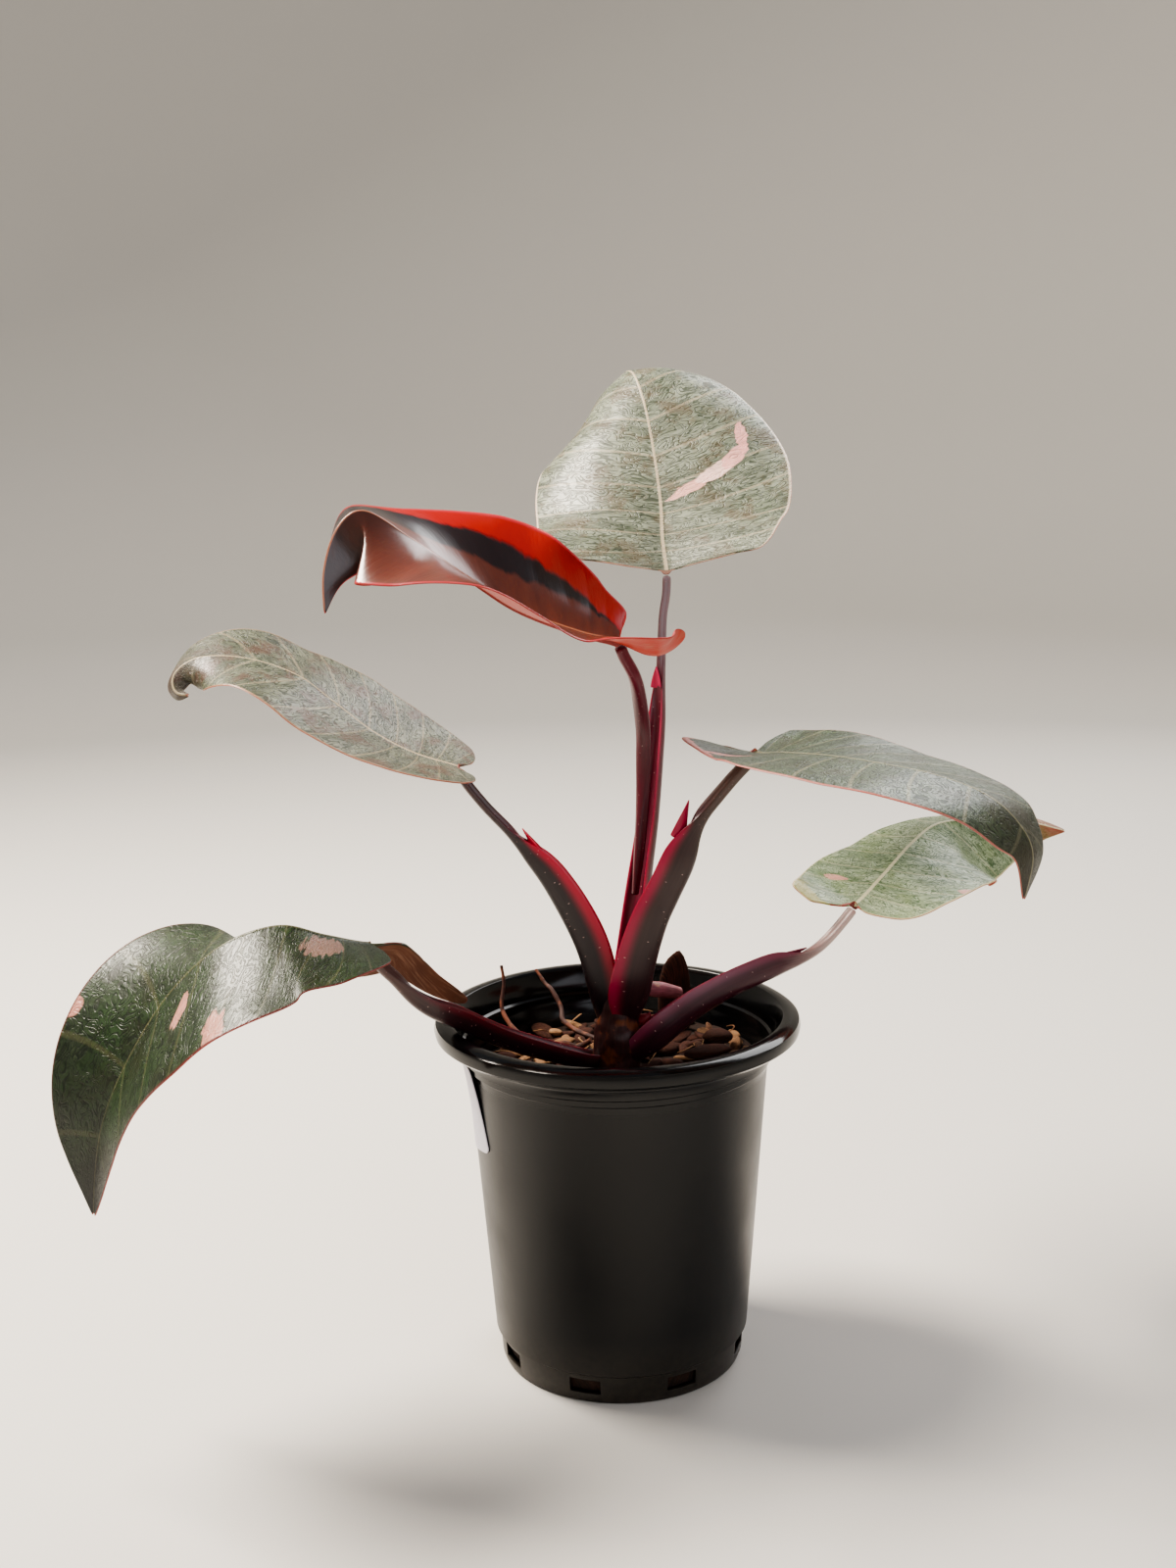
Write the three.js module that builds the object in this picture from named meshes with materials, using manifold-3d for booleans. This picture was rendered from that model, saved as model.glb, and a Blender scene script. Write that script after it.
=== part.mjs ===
// A potted Thai pink sunrise philodendron: six arched heart-shaped leaves on sheathed
// petioles round a short stem, standing in bark mix in a thin-walled nursery pot.
// Millimetres, +Z up. The origin is the middle of the pot's flat base.
import * as THREE from 'three';
import { mergeVertices } from 'three/addons/utils/BufferGeometryUtils.js';
import Module from 'manifold-3d';

const { Vector2, Vector3 } = THREE;
const wasm = await Module();
wasm.setup();

// Driving dimensions of the pot and what fills it
const RIM_RADIUS = 77;
const POT_HEIGHT = 150.5;
const WALL = 1.3;
const FLOOR = 1.6;
const POT_SIDES = 48;
const FOOT_RADIUS = 52;
const SLOT_COUNT = 8;
const SLOT_SIZE = [10, 13, 6];
const SLOT_HEIGHT = 7.4;
const SLOT_START = 0.47;
const MIX_TOP = 126.5;
const GAP = 0.3;

// Driving dimensions of the leaves
const BLADE = 0.8;
const BLADE_ROWS = 22;
const HALF_COLUMNS = [0, 0.2, 0.42, 0.64, 0.84, 1];
const RIB_HALF_WIDTH = 2.1;
const RIB_ABOVE = 0.5;
const RIB_BELOW = 1.9;
const RIB_HALF_WIDTH_TIP = 0.35;
const RIB_BELOW_TIP = 0.2;
const RIB_WIDEST_SHARE = 0.8;
const VEIN_CROWDING = 1.8;
const VEIN_ARCH = 0.9;
const SPINE_STEPS = 160;
const TAPER_END = 0.35;
const FULLER_START = 0.5;

// Driving dimensions of the petioles, stem and roots
const MARGIN = 0.7;
const MARGIN_SHARPNESS = 4;
const BACK_STEPS = 8;
const CHANNEL_STEPS = 6;
const PETIOLE_STEPS = 16;
const STEM_STEPS = 8;
const STUB_STEPS = 2;
const STEM_FACE = [0.1, -1, 0.1];
const ROUND_SIDES = 14;
const BUD_SIDES = [8, 6];
const ROOT_STEPS = 12;

// Driving dimensions of the potting mix and its bark chips
const MIX_RADIUS = 61.3;
const MIX_RISE = 5;
const MIX_RISE_TOWARD = 0.6;
const CHIP_COUNT = 44;
const CHIP_REACH = 53;
const CHIP_SEED = 7;
const CHIP_TILT = 0.35;
const CHIP_LENGTH = [10, 20];
const CHIP_WIDTH = [6, 12];
const CHIP_HEIGHT = 8;
const CHIP_STANDS_OUT = [1.5, 4];
const CHIP_RAGGEDNESS = [0.3, 0.35, 0.25];
const STANDING_CHIP = { place: [26, 29, 145], size: [16, 4, 48] };
const GOLDEN_ANGLE = Math.PI * (3 - Math.sqrt(5));

// Driving dimensions of the label (its middle is an angle round the pot and a height)
const LABEL_WIDTH = 26;
const LABEL_HEIGHT = 37;
const LABEL_THICKNESS = 0.4;
const LABEL_CORNER = 3;
const LABEL_END_INSET = 0.96;
const LABEL_CLEARANCE = 0.6;
const LABEL_MIDDLE = [0.24, 115.5];
const LABEL_SKEW = 0.2;
const LABEL_FREE = 105;
const LABEL_LIFT = 2.4;
const WALL_FOOT_RADIUS = 53;
const LABEL_ROWS = 12;
const LABEL_COLUMNS = 5;
const WALL_SLOPE = 0.0776;
const WALL_TOP = 137;

// One half of the heart-shaped outline, from the petiole round the lobe to the tip, as
// [along, out / half width]. Along is over the length, or behind the petiole the lobe.
const HEART = [
  [0, 0.06], [-0.5, 0.14], [-0.9, 0.27], [-1, 0.42], [-0.8, 0.58], [-0.35, 0.71], [0.04, 0.82],
  [0.14, 0.92], [0.25, 0.98], [0.38, 1], [0.52, 0.93], [0.67, 0.74], [0.82, 0.45], [0.93, 0.17],
  [1, 0.012],
];

// The leaves. The spine runs along the midrib, from behind the lobes to the tip, and its
// second point is where the petiole ends; face is where the upper side looks at its start.
// Roll, fold and curl are in degrees at equal steps along the spine: roll lifts the left
// half, fold lifts a half at the midrib, and curl bends it further out to its margin. Lobe
// is how far a half reaches behind the petiole, taper narrows its base, and fuller widens it
// before the tip.
const LEAVES = {
  a: {
    width: 120,
    behind: 1,
    spine: [[25, 38, 325], [25, 45, 332], [24, 57, 345], [24, 72, 361], [22, 92, 384], [19, 112, 405],
      [15, 134, 420], [11, 158, 422], [8, 178, 412]],
    face: [0, -0.7, 0.7],
    roll: [0, 0, 0, -5, -8],
    left: { lobe: 0, fold: [20, 8, 2, -15, -20], curl: [0, -42, -54, -72, -60] },
    right: { lobe: 0, fold: [20, 12, 8, 0, -10], curl: [0, -10, -30, -50, -60] },
  },
  b: {
    width: 78,
    behind: 2,
    spine: [[28, 8, 301], [16, 3, 299], [3, 0, 306], [-12, 0, 310], [-37, -2, 320], [-56, -6, 333],
      [-79, -12, 350], [-96, -18, 361], [-106, -22, 354], [-111, -27, 338], [-111, -30, 322]],
    face: [0, 0, 1],
    roll: [-25, -30, -30, -40, -40],
    left: { lobe: 27, fuller: 0.3, fold: [40, 29, 25, -16, -50], curl: [100, -12, 0, 0, 0, 0, 0] },
    right: { lobe: 0, taper: 0.5, fold: [34, 20, 3, -42, -85], curl: [90, 90, 38, 10, 0] },
  },
  c: {
    width: 82,
    behind: 1,
    spine: [[-50, 0, 252], [-64, 0, 256], [-82, 0, 262], [-98, 0, 271], [-114, 0, 284], [-128, 0, 295],
      [-148, 1, 302], [-167, 0, 303], [-177, -3, 297], [-176, -8, 290], [-170, -10, 289]],
    face: [0, -0.1, 1],
    roll: [-10, -10, -13],
    left: { lobe: 9, fold: [15, 12, 2, -3, -70], curl: [0, 0, 0] },
    right: { lobe: 6, fold: [-12, 0, 0, -7, 3, -50], curl: [0, 0, 0] },
  },
  d: {
    width: 97,
    behind: 3,
    spine: [[-57, -8, 165], [-71, -16, 176], [-84, -27, 190], [-98, -37, 192], [-114, -46, 198],
      [-131, -53, 204], [-152, -60, 198], [-172, -64, 180], [-189, -66, 154], [-199, -66, 132],
      [-204, -64, 112], [-207, -62, 91]],
    face: [0, 0, 1],
    roll: [-10, -10, -12, -25, -45, -50],
    left: { lobe: 2, taper: 0.45, fuller: -0.25, fold: [0, 8, -12, 12, 29, 20], curl: [0, 0, 0] },
    right: { lobe: 60, taper: 0.55, fuller: -0.05, fold: [-85, -75, -46, -7, 9, 12], curl: [0, 0, 0] },
  },
  e: {
    width: 84,
    behind: 1,
    spine: [[35, 2, 267], [57, -15, 262], [67, -24, 263], [84, -40, 264], [101, -54, 263], [117, -66, 261],
      [133, -78, 256], [143, -86, 248], [149, -90, 236], [146, -92, 219]],
    face: [0, 0, 1],
    roll: [0, 0, 0],
    left: { lobe: 2, fold: [15, 7.6, -4, -7, -4], curl: [0, 0, 0] },
    right: { lobe: 24, fold: [9, 0, -5, -15], curl: [0, 0, 0] },
  },
  f: {
    width: 80,
    behind: 1,
    spine: [[90, 14, 187], [104, 25, 188], [118, 38, 197], [134, 55, 208], [149, 70, 214], [172, 84, 213],
      [194, 92, 210], [215, 96, 204]],
    face: [0, -0.5, 1],
    roll: [0, 10, 35, 50],
    left: { lobe: 21, fold: [4, -24, -56, -64, -50], curl: [0, 0, 0] },
    right: { lobe: 4, fold: [25, 14, 4, 8], curl: [0, 0, 0] },
  },
};

// The petioles. Across a petiole, wide is half its width, deep its rounded back, wing the
// height of the sheath's thin margins and groove the depth of the channel between them
// (below zero, a rounded top). They are given at equal steps from the stem to the blade.
const PETIOLES = {
  a: {
    path: [[3, -1, 156], [6, 4, 172], [11, 13, 203], [15, 20, 227], [18, 27, 251], [20, 32, 269],
      [21, 36, 284], [22, 39, 298], [23, 42, 313], [24.6, 44, 322], [25, 44.4, 328]],
    face: [-0.75, -0.65, 0],
    wide: [7, 6.5, 6, 5.2, 5, 4.6, 4, 2.4, 2, 2],
    deep: [6, 5.6, 5, 4.6, 4.2, 3.8, 3.2, 2.4, 2, 2],
    wing: [3, 3, 3, 3, 2.6, 2.6, 2.4, 0.2, 0, 0],
    groove: [1, 1, 1, 1.5, 2, 2, 1.5, -1.6, -2, -2],
  },
  b: {
    path: [[8.5, 10, 198], [11.3, 16, 222], [12.8, 20, 240], [13.2, 21, 254], [13.2, 19.5, 267],
      [11.3, 12, 283], [9, 6, 292], [5, 2, 300], [4, 1, 302]],
    face: [-0.3, -0.6, 0.6],
    wide: [1.6, 2.4, 2.8, 3.2, 3.3, 3.3, 3, 2.8],
    deep: [1.6, 2.4, 2.8, 3.2, 3.3, 3.3, 3, 2.8],
    wing: [0, 0, 0.2, 0.5, 0.5, 0.5, 0, 0],
    groove: [-1.6, -2.4, -2.4, -1.6, -1.6, -1.8, -2.4, -2.4],
  },
  c: {
    path: [[-1, -5, 142], [-5, -4, 160], [-9, -3, 177], [-15, -2, 191], [-25.5, -1, 209], [-34.5, 0, 220],
      [-42, 0, 228], [-51.5, 0, 238], [-59.5, 0, 248], [-61.5, 0, 251]],
    face: [1, 0, 0.1],
    wide: [6, 7.5, 6.5, 5.8, 5.2, 4.4, 2.5, 2.2, 2.2],
    deep: [5, 6.4, 6.8, 6.6, 6, 5, 2.6, 2.2, 2.2],
    wing: [4, 7, 7.4, 7.4, 6.8, 5, 0.2, 0, 0],
    groove: [1, 2, 2, 1.8, 1.6, 0.6, -2, -2.2, -2.2],
  },
  d: {
    path: [[-4, -5.5, 131.5], [-13, -8, 132.5], [-29, -10, 137], [-43, -13, 142.5], [-54, -17, 148.5],
      [-64, -22, 155.5], [-74, -27, 162], [-81, -30, 168], [-88, -33, 176], [-94, -36, 183],
      [-95.4, -36.6, 185.6]],
    face: [0, 0.1, 1],
    wide: [6, 5.6, 5.2, 5, 4.8, 4.6, 4, 3, 2.6],
    deep: [4, 4.2, 4.4, 4.4, 4.4, 4.6, 4.2, 3, 2.6],
    wing: [3, 3.6, 4.2, 4.4, 4.6, 4.2, 2.4, 0.2, 0],
    groove: [1, 1.6, 1.6, 1.6, 1.4, 0.8, -1, -2.6, -2.6],
  },
  e: {
    path: [[3, -7, 146], [6, -11.5, 165], [9.5, -13, 181], [14, -14, 195], [19, -14, 205], [25, -15, 217],
      [30, -15, 229], [35, -15, 237], [40, -15, 243], [46, -15, 250], [51, -15, 255.4], [53.6, -15, 257.8]],
    face: [-0.95, 0.2, 0.2],
    wide: [4, 8.4, 8, 7.2, 6.6, 5.8, 3.2, 2.8, 2.6],
    deep: [4, 8, 8.2, 8, 7.4, 6.6, 3.6, 3, 2.8],
    wing: [3, 8, 8, 7.4, 6.8, 6.6, 0.4, 0, 0],
    groove: [1, 2, 2, 2, 1.8, 0.8, -2.4, -2.6, -2.6],
  },
  f: {
    path: [[3, -7, 132], [14, -11, 142.5], [25, -9, 151], [35, -6, 157], [50, 0, 163], [67, 8, 167],
      [78, 13, 168.5], [86, 17, 171], [93, 20, 176], [100, 23, 183], [101.6, 23.8, 184.6]],
    face: [-0.3, 0.1, 1],
    wide: [6, 7.4, 6.8, 6.2, 5.8, 5.4, 3.4, 2.5, 2.3],
    deep: [4, 6.6, 6.4, 6, 5.8, 5.2, 3, 2.4, 2.3],
    wing: [3, 6.4, 6, 5.4, 5.2, 4.8, 1.2, 0, 0],
    groove: [1, 2, 2, 2, 1.8, 1, -1.6, -2.3, -2.3],
  },
};

// The stem's middle line from its foot in the mix, its radius at equal steps, the stub of
// a cut leaf on it, a bud, and the roots that leave it above the mix.
const STEM_LINE = [[0, -4, 112], [-0.5, -5, 125], [0, -6, 138], [1, -6, 151], [3, -4, 163], [4, -2, 172]];
const STEM_RADII = [8.6, 9.4, 10.3, 9.2, 7.6, 5];
const STUB = { line: [[3, -2, 160], [15, 6, 158], [27, 14, 153.5]], radius: 3.1 };
const BUD = { place: [11, -8.5, 149], radius: 2.6 };
const ROOTS = [
  { line: [[-11, 0, 131], [-29, 8, 133], [-42, 16, 136], [-48, 22, 141], [-50, 26, 146], [-49, 30, 155],
    [-50, 32, 162]], radius: 1.1 },
  { line: [[-8.5, 4, 137], [-17, 12, 138], [-23, 18, 141], [-24, 24, 145], [-28, 30, 151], [-31, 34, 153],
    [-35, 38, 158]], radius: 1.1 },
  { line: [[-11, -1, 138], [-17, 1, 134.5], [-23, 2, 136], [-28, 3, 133], [-31, 3, 127]], radius: 1.3 },
];

// The value at t (0 to 1) on a smooth curve through equally spaced values.
function along(values, t) {
  const last = values.length - 1;
  const x = THREE.MathUtils.clamp(t, 0, 1) * last;
  const i = Math.min(Math.floor(x), last - 1);
  const f = x - i;
  const [p0, p1, p2, p3] = [i - 1, i, i + 1, i + 2].map((k) => values[THREE.MathUtils.clamp(k, 0, last)]);
  const slope = p2 - p0;
  const bend = 2 * p0 - 5 * p1 + 4 * p2 - p3;
  const twist = 3 * (p1 - p2) + p3 - p0;
  return p1 + 0.5 * f * (slope + f * (bend + f * twist));
}

// A path with a frame at every distance along it: tangent, face (the upper side) and
// side. The face is carried along the path without turning about it, then rolled.
class Path {
  constructor(points, face, roll, behind = 0) {
    this.curve = new THREE.CatmullRomCurve3(points.map((p) => new Vector3(...p)), false, 'catmullrom', 0.5);
    this.curve.arcLengthDivisions = 400;
    this.behind = this.curve.getLengths()[Math.round((behind / (points.length - 1)) * 400)];
    this.length = this.curve.getLength();
    this.roll = roll;
    this.points = this.curve.getSpacedPoints(SPINE_STEPS);
    this.tangents = this.points.map((_, i) => this.curve.getTangentAt(i / SPINE_STEPS));
    this.faces = [];
    let carried = new Vector3(...face);
    for (const tangent of this.tangents) {
      carried = carried.clone().addScaledVector(tangent, -carried.dot(tangent)).normalize();
      this.faces.push(carried);
    }
  }

  frame(distance) {
    const t = THREE.MathUtils.clamp((this.behind + distance) / this.length, 0, 1);
    const i = Math.min(Math.floor(t * SPINE_STEPS), SPINE_STEPS - 1);
    const f = t * SPINE_STEPS - i;
    const tangent = this.tangents[i].clone().lerp(this.tangents[i + 1], f).normalize();
    const face = this.faces[i].clone().lerp(this.faces[i + 1], f);
    face.addScaledVector(tangent, -face.dot(tangent)).normalize();
    face.applyAxisAngle(tangent, THREE.MathUtils.degToRad(along(this.roll, t)));
    const point = this.points[i].clone().lerp(this.points[i + 1], f);
    return { point, tangent, face, side: tangent.clone().cross(face), t };
  }
}

// The point of a blade's middle surface over flat place (a along, d out) on one half.
function bladePoint(path, leaf, half, a, d) {
  const { point, face, side, t } = path.frame(a);
  const { fold, curl } = half < 0 ? leaf.left : leaf.right;
  const start = THREE.MathUtils.degToRad(along(fold, t));
  const rate = THREE.MathUtils.degToRad(along(curl, t)) / (leaf.width / 2);
  const turned = start + rate * d;
  const bent = Math.abs(rate) > 1e-5;
  const out = bent ? (Math.sin(turned) - Math.sin(start)) / rate : d * Math.cos(start);
  const up = bent ? (Math.cos(start) - Math.cos(turned)) / rate : d * Math.sin(start);
  return point.addScaledVector(side, half * out).addScaledVector(face, up);
}

// Joins a grid of points (rows of equal length) over and under a middle surface into a
// closed sheet. The faces of both sides are split alike.
function sheet(middle, above, below) {
  const rows = middle.length;
  const columns = middle[0].length;
  const under = rows * columns;
  const top = [];
  for (let i = 0; i < rows - 1; i += 1) {
    for (let j = 0; j < columns - 1; j += 1) {
      const a = i * columns + j;
      top.push([a, a + 1, a + columns], [a + 1, a + columns + 1, a + columns]);
    }
  }
  const flat = new THREE.BufferGeometry().setFromPoints(middle.flat());
  flat.setIndex(top.flat());
  flat.computeVertexNormals();
  const normal = flat.attributes.normal;
  const shifted = (amount, sign) => middle.flat().map((point, k) => point.clone()
    .addScaledVector(new Vector3().fromBufferAttribute(normal, k), sign * amount.flat()[k]));
  const edge = [];
  for (let j = 0; j < columns - 1; j += 1) edge.push(j);
  for (let i = 0; i < rows - 1; i += 1) edge.push(i * columns + columns - 1);
  for (let j = columns - 1; j > 0; j -= 1) edge.push((rows - 1) * columns + j);
  for (let i = rows - 1; i > 0; i -= 1) edge.push(i * columns);
  const rim = edge.flatMap((p, k) => {
    const q = edge[(k + 1) % edge.length];
    return [[p, p + under, q], [q, p + under, q + under]];
  });
  const bottom = top.map(([a, b, c]) => [a + under, c + under, b + under]);
  const geometry = new THREE.BufferGeometry().setFromPoints([...shifted(above, 1), ...shifted(below, -1)]);
  geometry.setIndex([...top, ...bottom, ...rim].flat());
  return geometry;
}

// A blade: veins fan from the midrib to the outline, and the rib stands out under it.
function bladeGeometry(leaf, grow = 0) {
  const path = new Path(leaf.spine, leaf.face, leaf.roll, leaf.behind);
  const length = path.length - path.behind;
  const outline = ({ lobe, taper = 0, fuller = 0 }) => new THREE.SplineCurve(HEART.map(([a, d]) => {
    const narrowed = 1 - taper * Math.max(1 - Math.max(a, 0) / TAPER_END, 0) ** 2;
    const widened = 1 + fuller * Math.sin((Math.PI * Math.max(a - FULLER_START, 0)) / (1 - FULLER_START));
    return new Vector2(a * (a < 0 ? lobe : length), (narrowed * widened * d * leaf.width) / 2);
  })).getSpacedPoints(BLADE_ROWS);
  const edges = [outline(leaf.left), outline(leaf.right)];
  const middle = [];
  const above = [];
  const below = [];
  for (let i = 0; i <= BLADE_ROWS; i += 1) {
    const u = i / BLADE_ROWS;
    const start = (length - 1) * u ** VEIN_CROWDING;
    const ribWidth = RIB_HALF_WIDTH * (1 - u) + RIB_HALF_WIDTH_TIP;
    const column = (half, v) => {
      const edge = edges[half < 0 ? 0 : 1][i];
      const reach = Math.hypot(edge.x - start, edge.y);
      const rib = Math.min(ribWidth, RIB_WIDEST_SHARE * edge.y) / reach;
      const w = v < 0 ? 0 : rib + (1 - rib) * v;
      const arch = VEIN_ARCH * reach * w * (1 - w) * u * (1 - u);
      const back = i === 0 ? grow : 0;
      return bladePoint(path, leaf, half, start + (edge.x - start) * w - arch - back, edge.y * w);
    };
    const left = HALF_COLUMNS.map((v) => column(-1, v)).reverse();
    const right = HALF_COLUMNS.map((v) => column(1, v));
    middle.push([...left, column(1, -1), ...right]);
    const thin = HALF_COLUMNS.map(() => BLADE / 2 + grow);
    above.push([...thin, thin[0] + RIB_ABOVE * (1 - u), ...thin]);
    below.push([...thin, thin[0] + RIB_BELOW * (1 - u) + RIB_BELOW_TIP, ...thin]);
  }
  return sheet(middle, above, below);
}

// A body swept along frames through as many 2-D outlines (x to the side, y to the face),
// which run clockwise from +x through -y.
function loft(frames, outlines) {
  const count = outlines[0].length;
  const points = frames.flatMap(({ point, side, face }, i) => outlines[i].map((p) => point.clone()
    .addScaledVector(side, p.x).addScaledVector(face, p.y)));
  const triangles = [];
  for (let i = 0; i < frames.length - 1; i += 1) {
    for (let k = 0; k < count; k += 1) {
      const a = i * count + k;
      const b = i * count + ((k + 1) % count);
      triangles.push([a, b, b + count], [a, b + count, a + count]);
    }
  }
  const cap = (outline, first, sign) => {
    for (const [a, b, c] of THREE.ShapeUtils.triangulateShape(outline, [])) {
      const turn = outline[b].clone().sub(outline[a]).cross(outline[c].clone().sub(outline[a]));
      triangles.push(turn * sign > 0 ? [first + a, first + b, first + c] : [first + a, first + c, first + b]);
    }
  };
  cap(outlines[0], 0, 1);
  cap(outlines[frames.length - 1], (frames.length - 1) * count, -1);
  const geometry = new THREE.BufferGeometry().setFromPoints(points);
  geometry.setIndex(triangles.flat());
  return geometry;
}

// The frames of a path at equal steps, its ends moved out by grow.
function framesAlong(path, steps, grow) {
  return Array.from({ length: steps + 1 }, (_, i) => {
    const frame = path.frame((path.length * i) / steps);
    if (i === 0) frame.point.addScaledVector(frame.tangent, -grow);
    if (i === steps) frame.point.addScaledVector(frame.tangent, grow);
    return frame;
  });
}

// The outline across a petiole, grown by a gap: a rounded back, then the channel between
// its margins.
function petioleOutline(wide, deep, wing, groove, grow) {
  const outline = [];
  for (let k = 0; k <= BACK_STEPS; k += 1) {
    const angle = (Math.PI * k) / BACK_STEPS;
    const margin = (wing + grow) * Math.abs(Math.cos(angle)) ** MARGIN_SHARPNESS;
    outline.push(new Vector2((wide + grow) * Math.cos(angle), margin - (deep + grow) * Math.sin(angle)));
  }
  for (let k = 1; k < CHANNEL_STEPS; k += 1) {
    const angle = Math.PI - (Math.PI * k) / CHANNEL_STEPS;
    const margin = wing * Math.abs(Math.cos(angle)) ** MARGIN_SHARPNESS;
    outline.push(new Vector2(
      (wide - MARGIN - grow) * Math.cos(angle),
      margin - (groove - grow) * Math.sin(angle),
    ));
  }
  return outline;
}

function petioleGeometry({ path: points, face, wide, deep, wing, groove }, grow = 0) {
  const path = new Path(points, face, [0, 0]);
  const outlines = Array.from({ length: PETIOLE_STEPS + 1 }, (_, i) => {
    const t = i / PETIOLE_STEPS;
    return petioleOutline(
      along(wide, t),
      along(deep, t),
      Math.max(along(wing, t), 0),
      along(groove, t),
      grow,
    );
  });
  return loft(framesAlong(path, PETIOLE_STEPS, grow), outlines);
}

// A round body along a line, with its radius at equal steps.
function roundGeometry(line, radii, steps, grow) {
  const path = new Path(line, STEM_FACE, [0, 0]);
  const circle = (radius) => Array.from({ length: ROUND_SIDES }, (_, k) => {
    const angle = (-2 * Math.PI * k) / ROUND_SIDES;
    return new Vector2(radius * Math.cos(angle), radius * Math.sin(angle));
  });
  const outlines = Array.from({ length: steps + 1 }, (_, i) => circle(along(radii, i / steps) + grow));
  return loft(framesAlong(path, steps, grow), outlines);
}

// Merges the shared vertices of a geometry and drops triangles that have no area.
function merged(geometry) {
  const plain = geometry.clone();
  plain.deleteAttribute('normal');
  plain.deleteAttribute('uv');
  const whole = mergeVertices(plain, 1e-4);
  const index = [];
  for (let i = 0; i < whole.index.count; i += 3) {
    const [a, b, c] = [whole.index.getX(i), whole.index.getX(i + 1), whole.index.getX(i + 2)];
    if (a !== b && b !== c && c !== a) index.push(a, b, c);
  }
  whole.setIndex(index);
  return whole;
}

function solid(geometry) {
  const whole = merged(geometry);
  return new wasm.Manifold(new wasm.Mesh({
    numProp: 3,
    vertProperties: new Float32Array(whole.attributes.position.array),
    triVerts: new Uint32Array(whole.index.array),
  }));
}

// The largest piece of a solid, as a geometry.
function geometryOf(body) {
  const [largest] = body.decompose().sort((p, q) => q.volume() - p.volume());
  const { vertProperties, triVerts } = largest.getMesh();
  const geometry = new THREE.BufferGeometry();
  geometry.setAttribute('position', new THREE.BufferAttribute(vertProperties, 3));
  geometry.setIndex(new THREE.BufferAttribute(triVerts, 1));
  return geometry;
}

function join(bodies) {
  return bodies.reduce((all, body) => all.add(body));
}

function cut(body, cutters) {
  return cutters.reduce((rest, cutter) => rest.subtract(cutter), body);
}

// A seeded random number from 0 to 1.
function randomFrom(seed) {
  let state = seed;
  return () => {
    state = (Math.imul(state, 1664525) + 1013904223) >>> 0;
    return state / 2 ** 32;
  };
}

// The pot's foot, wall and the bands that step out under its rolled rim, outside then inside.
function potGeometry() {
  const outside = [
    [0, 0], [50, 0], [51.5, 0.6], [FOOT_RADIUS, 2], [52.8, 12.4], [54.4, 13.6], [63.4, 131.5], [64.6, 132.3],
    [64.9, 134.6], [65.9, 135.4], [66.3, 138.4], [67.2, 139.4], [67.6, 143.2], [74.8, 142.9],
    [76.6, 144.4], [RIM_RADIUS, 146.6], [76.4, 149], [74.6, 150.2], [72, POT_HEIGHT],
  ];
  const inside = [
    [69.8, POT_HEIGHT], [68.6, 148.5], [66.2, 143.4], [65.6, 139.6], [64.4, 138.8], [63.8, 134.6],
    [63.4 - WALL, 131.5], [54.4 - WALL, 14.4], [52.8 - WALL, 13], [FOOT_RADIUS - WALL, 3],
    [49, FLOOR], [0, FLOOR],
  ];
  const profile = [...outside, ...inside].map(([r, z]) => new Vector2(r, z));
  return new THREE.LatheGeometry(profile, POT_SIDES).rotateX(Math.PI / 2);
}

// The drain slots, cut through the pot's foot.
function drainSlot(number) {
  const box = new THREE.BoxGeometry(...SLOT_SIZE).translate(FOOT_RADIUS, 0, SLOT_HEIGHT);
  return solid(box.rotateZ(SLOT_START + (2 * Math.PI * number) / SLOT_COUNT));
}

// A bark chip: a box with every corner moved a little, set in the mix.
function chip(random, [x, y, z], [length, width, height]) {
  const box = merged(new THREE.BoxGeometry(length, width, height));
  const corners = box.attributes.position;
  for (let i = 0; i < corners.count; i += 1) {
    corners.setXYZ(
      i,
      corners.getX(i) + (random() - 0.5) * CHIP_RAGGEDNESS[0] * length,
      corners.getY(i) + (random() - 0.5) * CHIP_RAGGEDNESS[1] * width,
      corners.getZ(i) + (random() - 0.5) * CHIP_RAGGEDNESS[2] * height,
    );
  }
  box.rotateX((random() - 0.5) * CHIP_TILT).rotateY((random() - 0.5) * CHIP_TILT);
  box.rotateZ(random() * Math.PI).translate(x, y, z);
  return solid(box);
}

// The potting mix: a body that fills the pot, with the chips of its surface, and one
// large chip on its edge behind the stem. The mix rises to the right.
function mixBody() {
  const random = randomFrom(CHIP_SEED);
  const between = ([low, high]) => low + (high - low) * random();
  const profile = [
    [0, FLOOR + GAP], [48.2, FLOOR + GAP], [50.2, 3.6], [51, 13.2], [52.6, 14.8],
    [MIX_RADIUS, MIX_TOP], [0, MIX_TOP],
  ];
  const body = new THREE.LatheGeometry(profile.map(([r, z]) => new Vector2(r, z)), POT_SIDES);
  const pieces = [solid(body.rotateX(Math.PI / 2))];
  for (let i = 0; i < CHIP_COUNT; i += 1) {
    const angle = i * GOLDEN_ANGLE;
    const radius = CHIP_REACH * Math.sqrt((i + 0.5) / CHIP_COUNT);
    const size = [between(CHIP_LENGTH), between(CHIP_WIDTH), CHIP_HEIGHT];
    const bank = Math.max(0, MIX_RISE * Math.cos(angle - MIX_RISE_TOWARD) * (radius / CHIP_REACH));
    const height = MIX_TOP + bank + between(CHIP_STANDS_OUT) - CHIP_HEIGHT / 2;
    pieces.push(chip(random, [radius * Math.cos(angle), radius * Math.sin(angle), height], size));
  }
  pieces.push(chip(random, STANDING_CHIP.place, STANDING_CHIP.size));
  return join(pieces);
}

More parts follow.
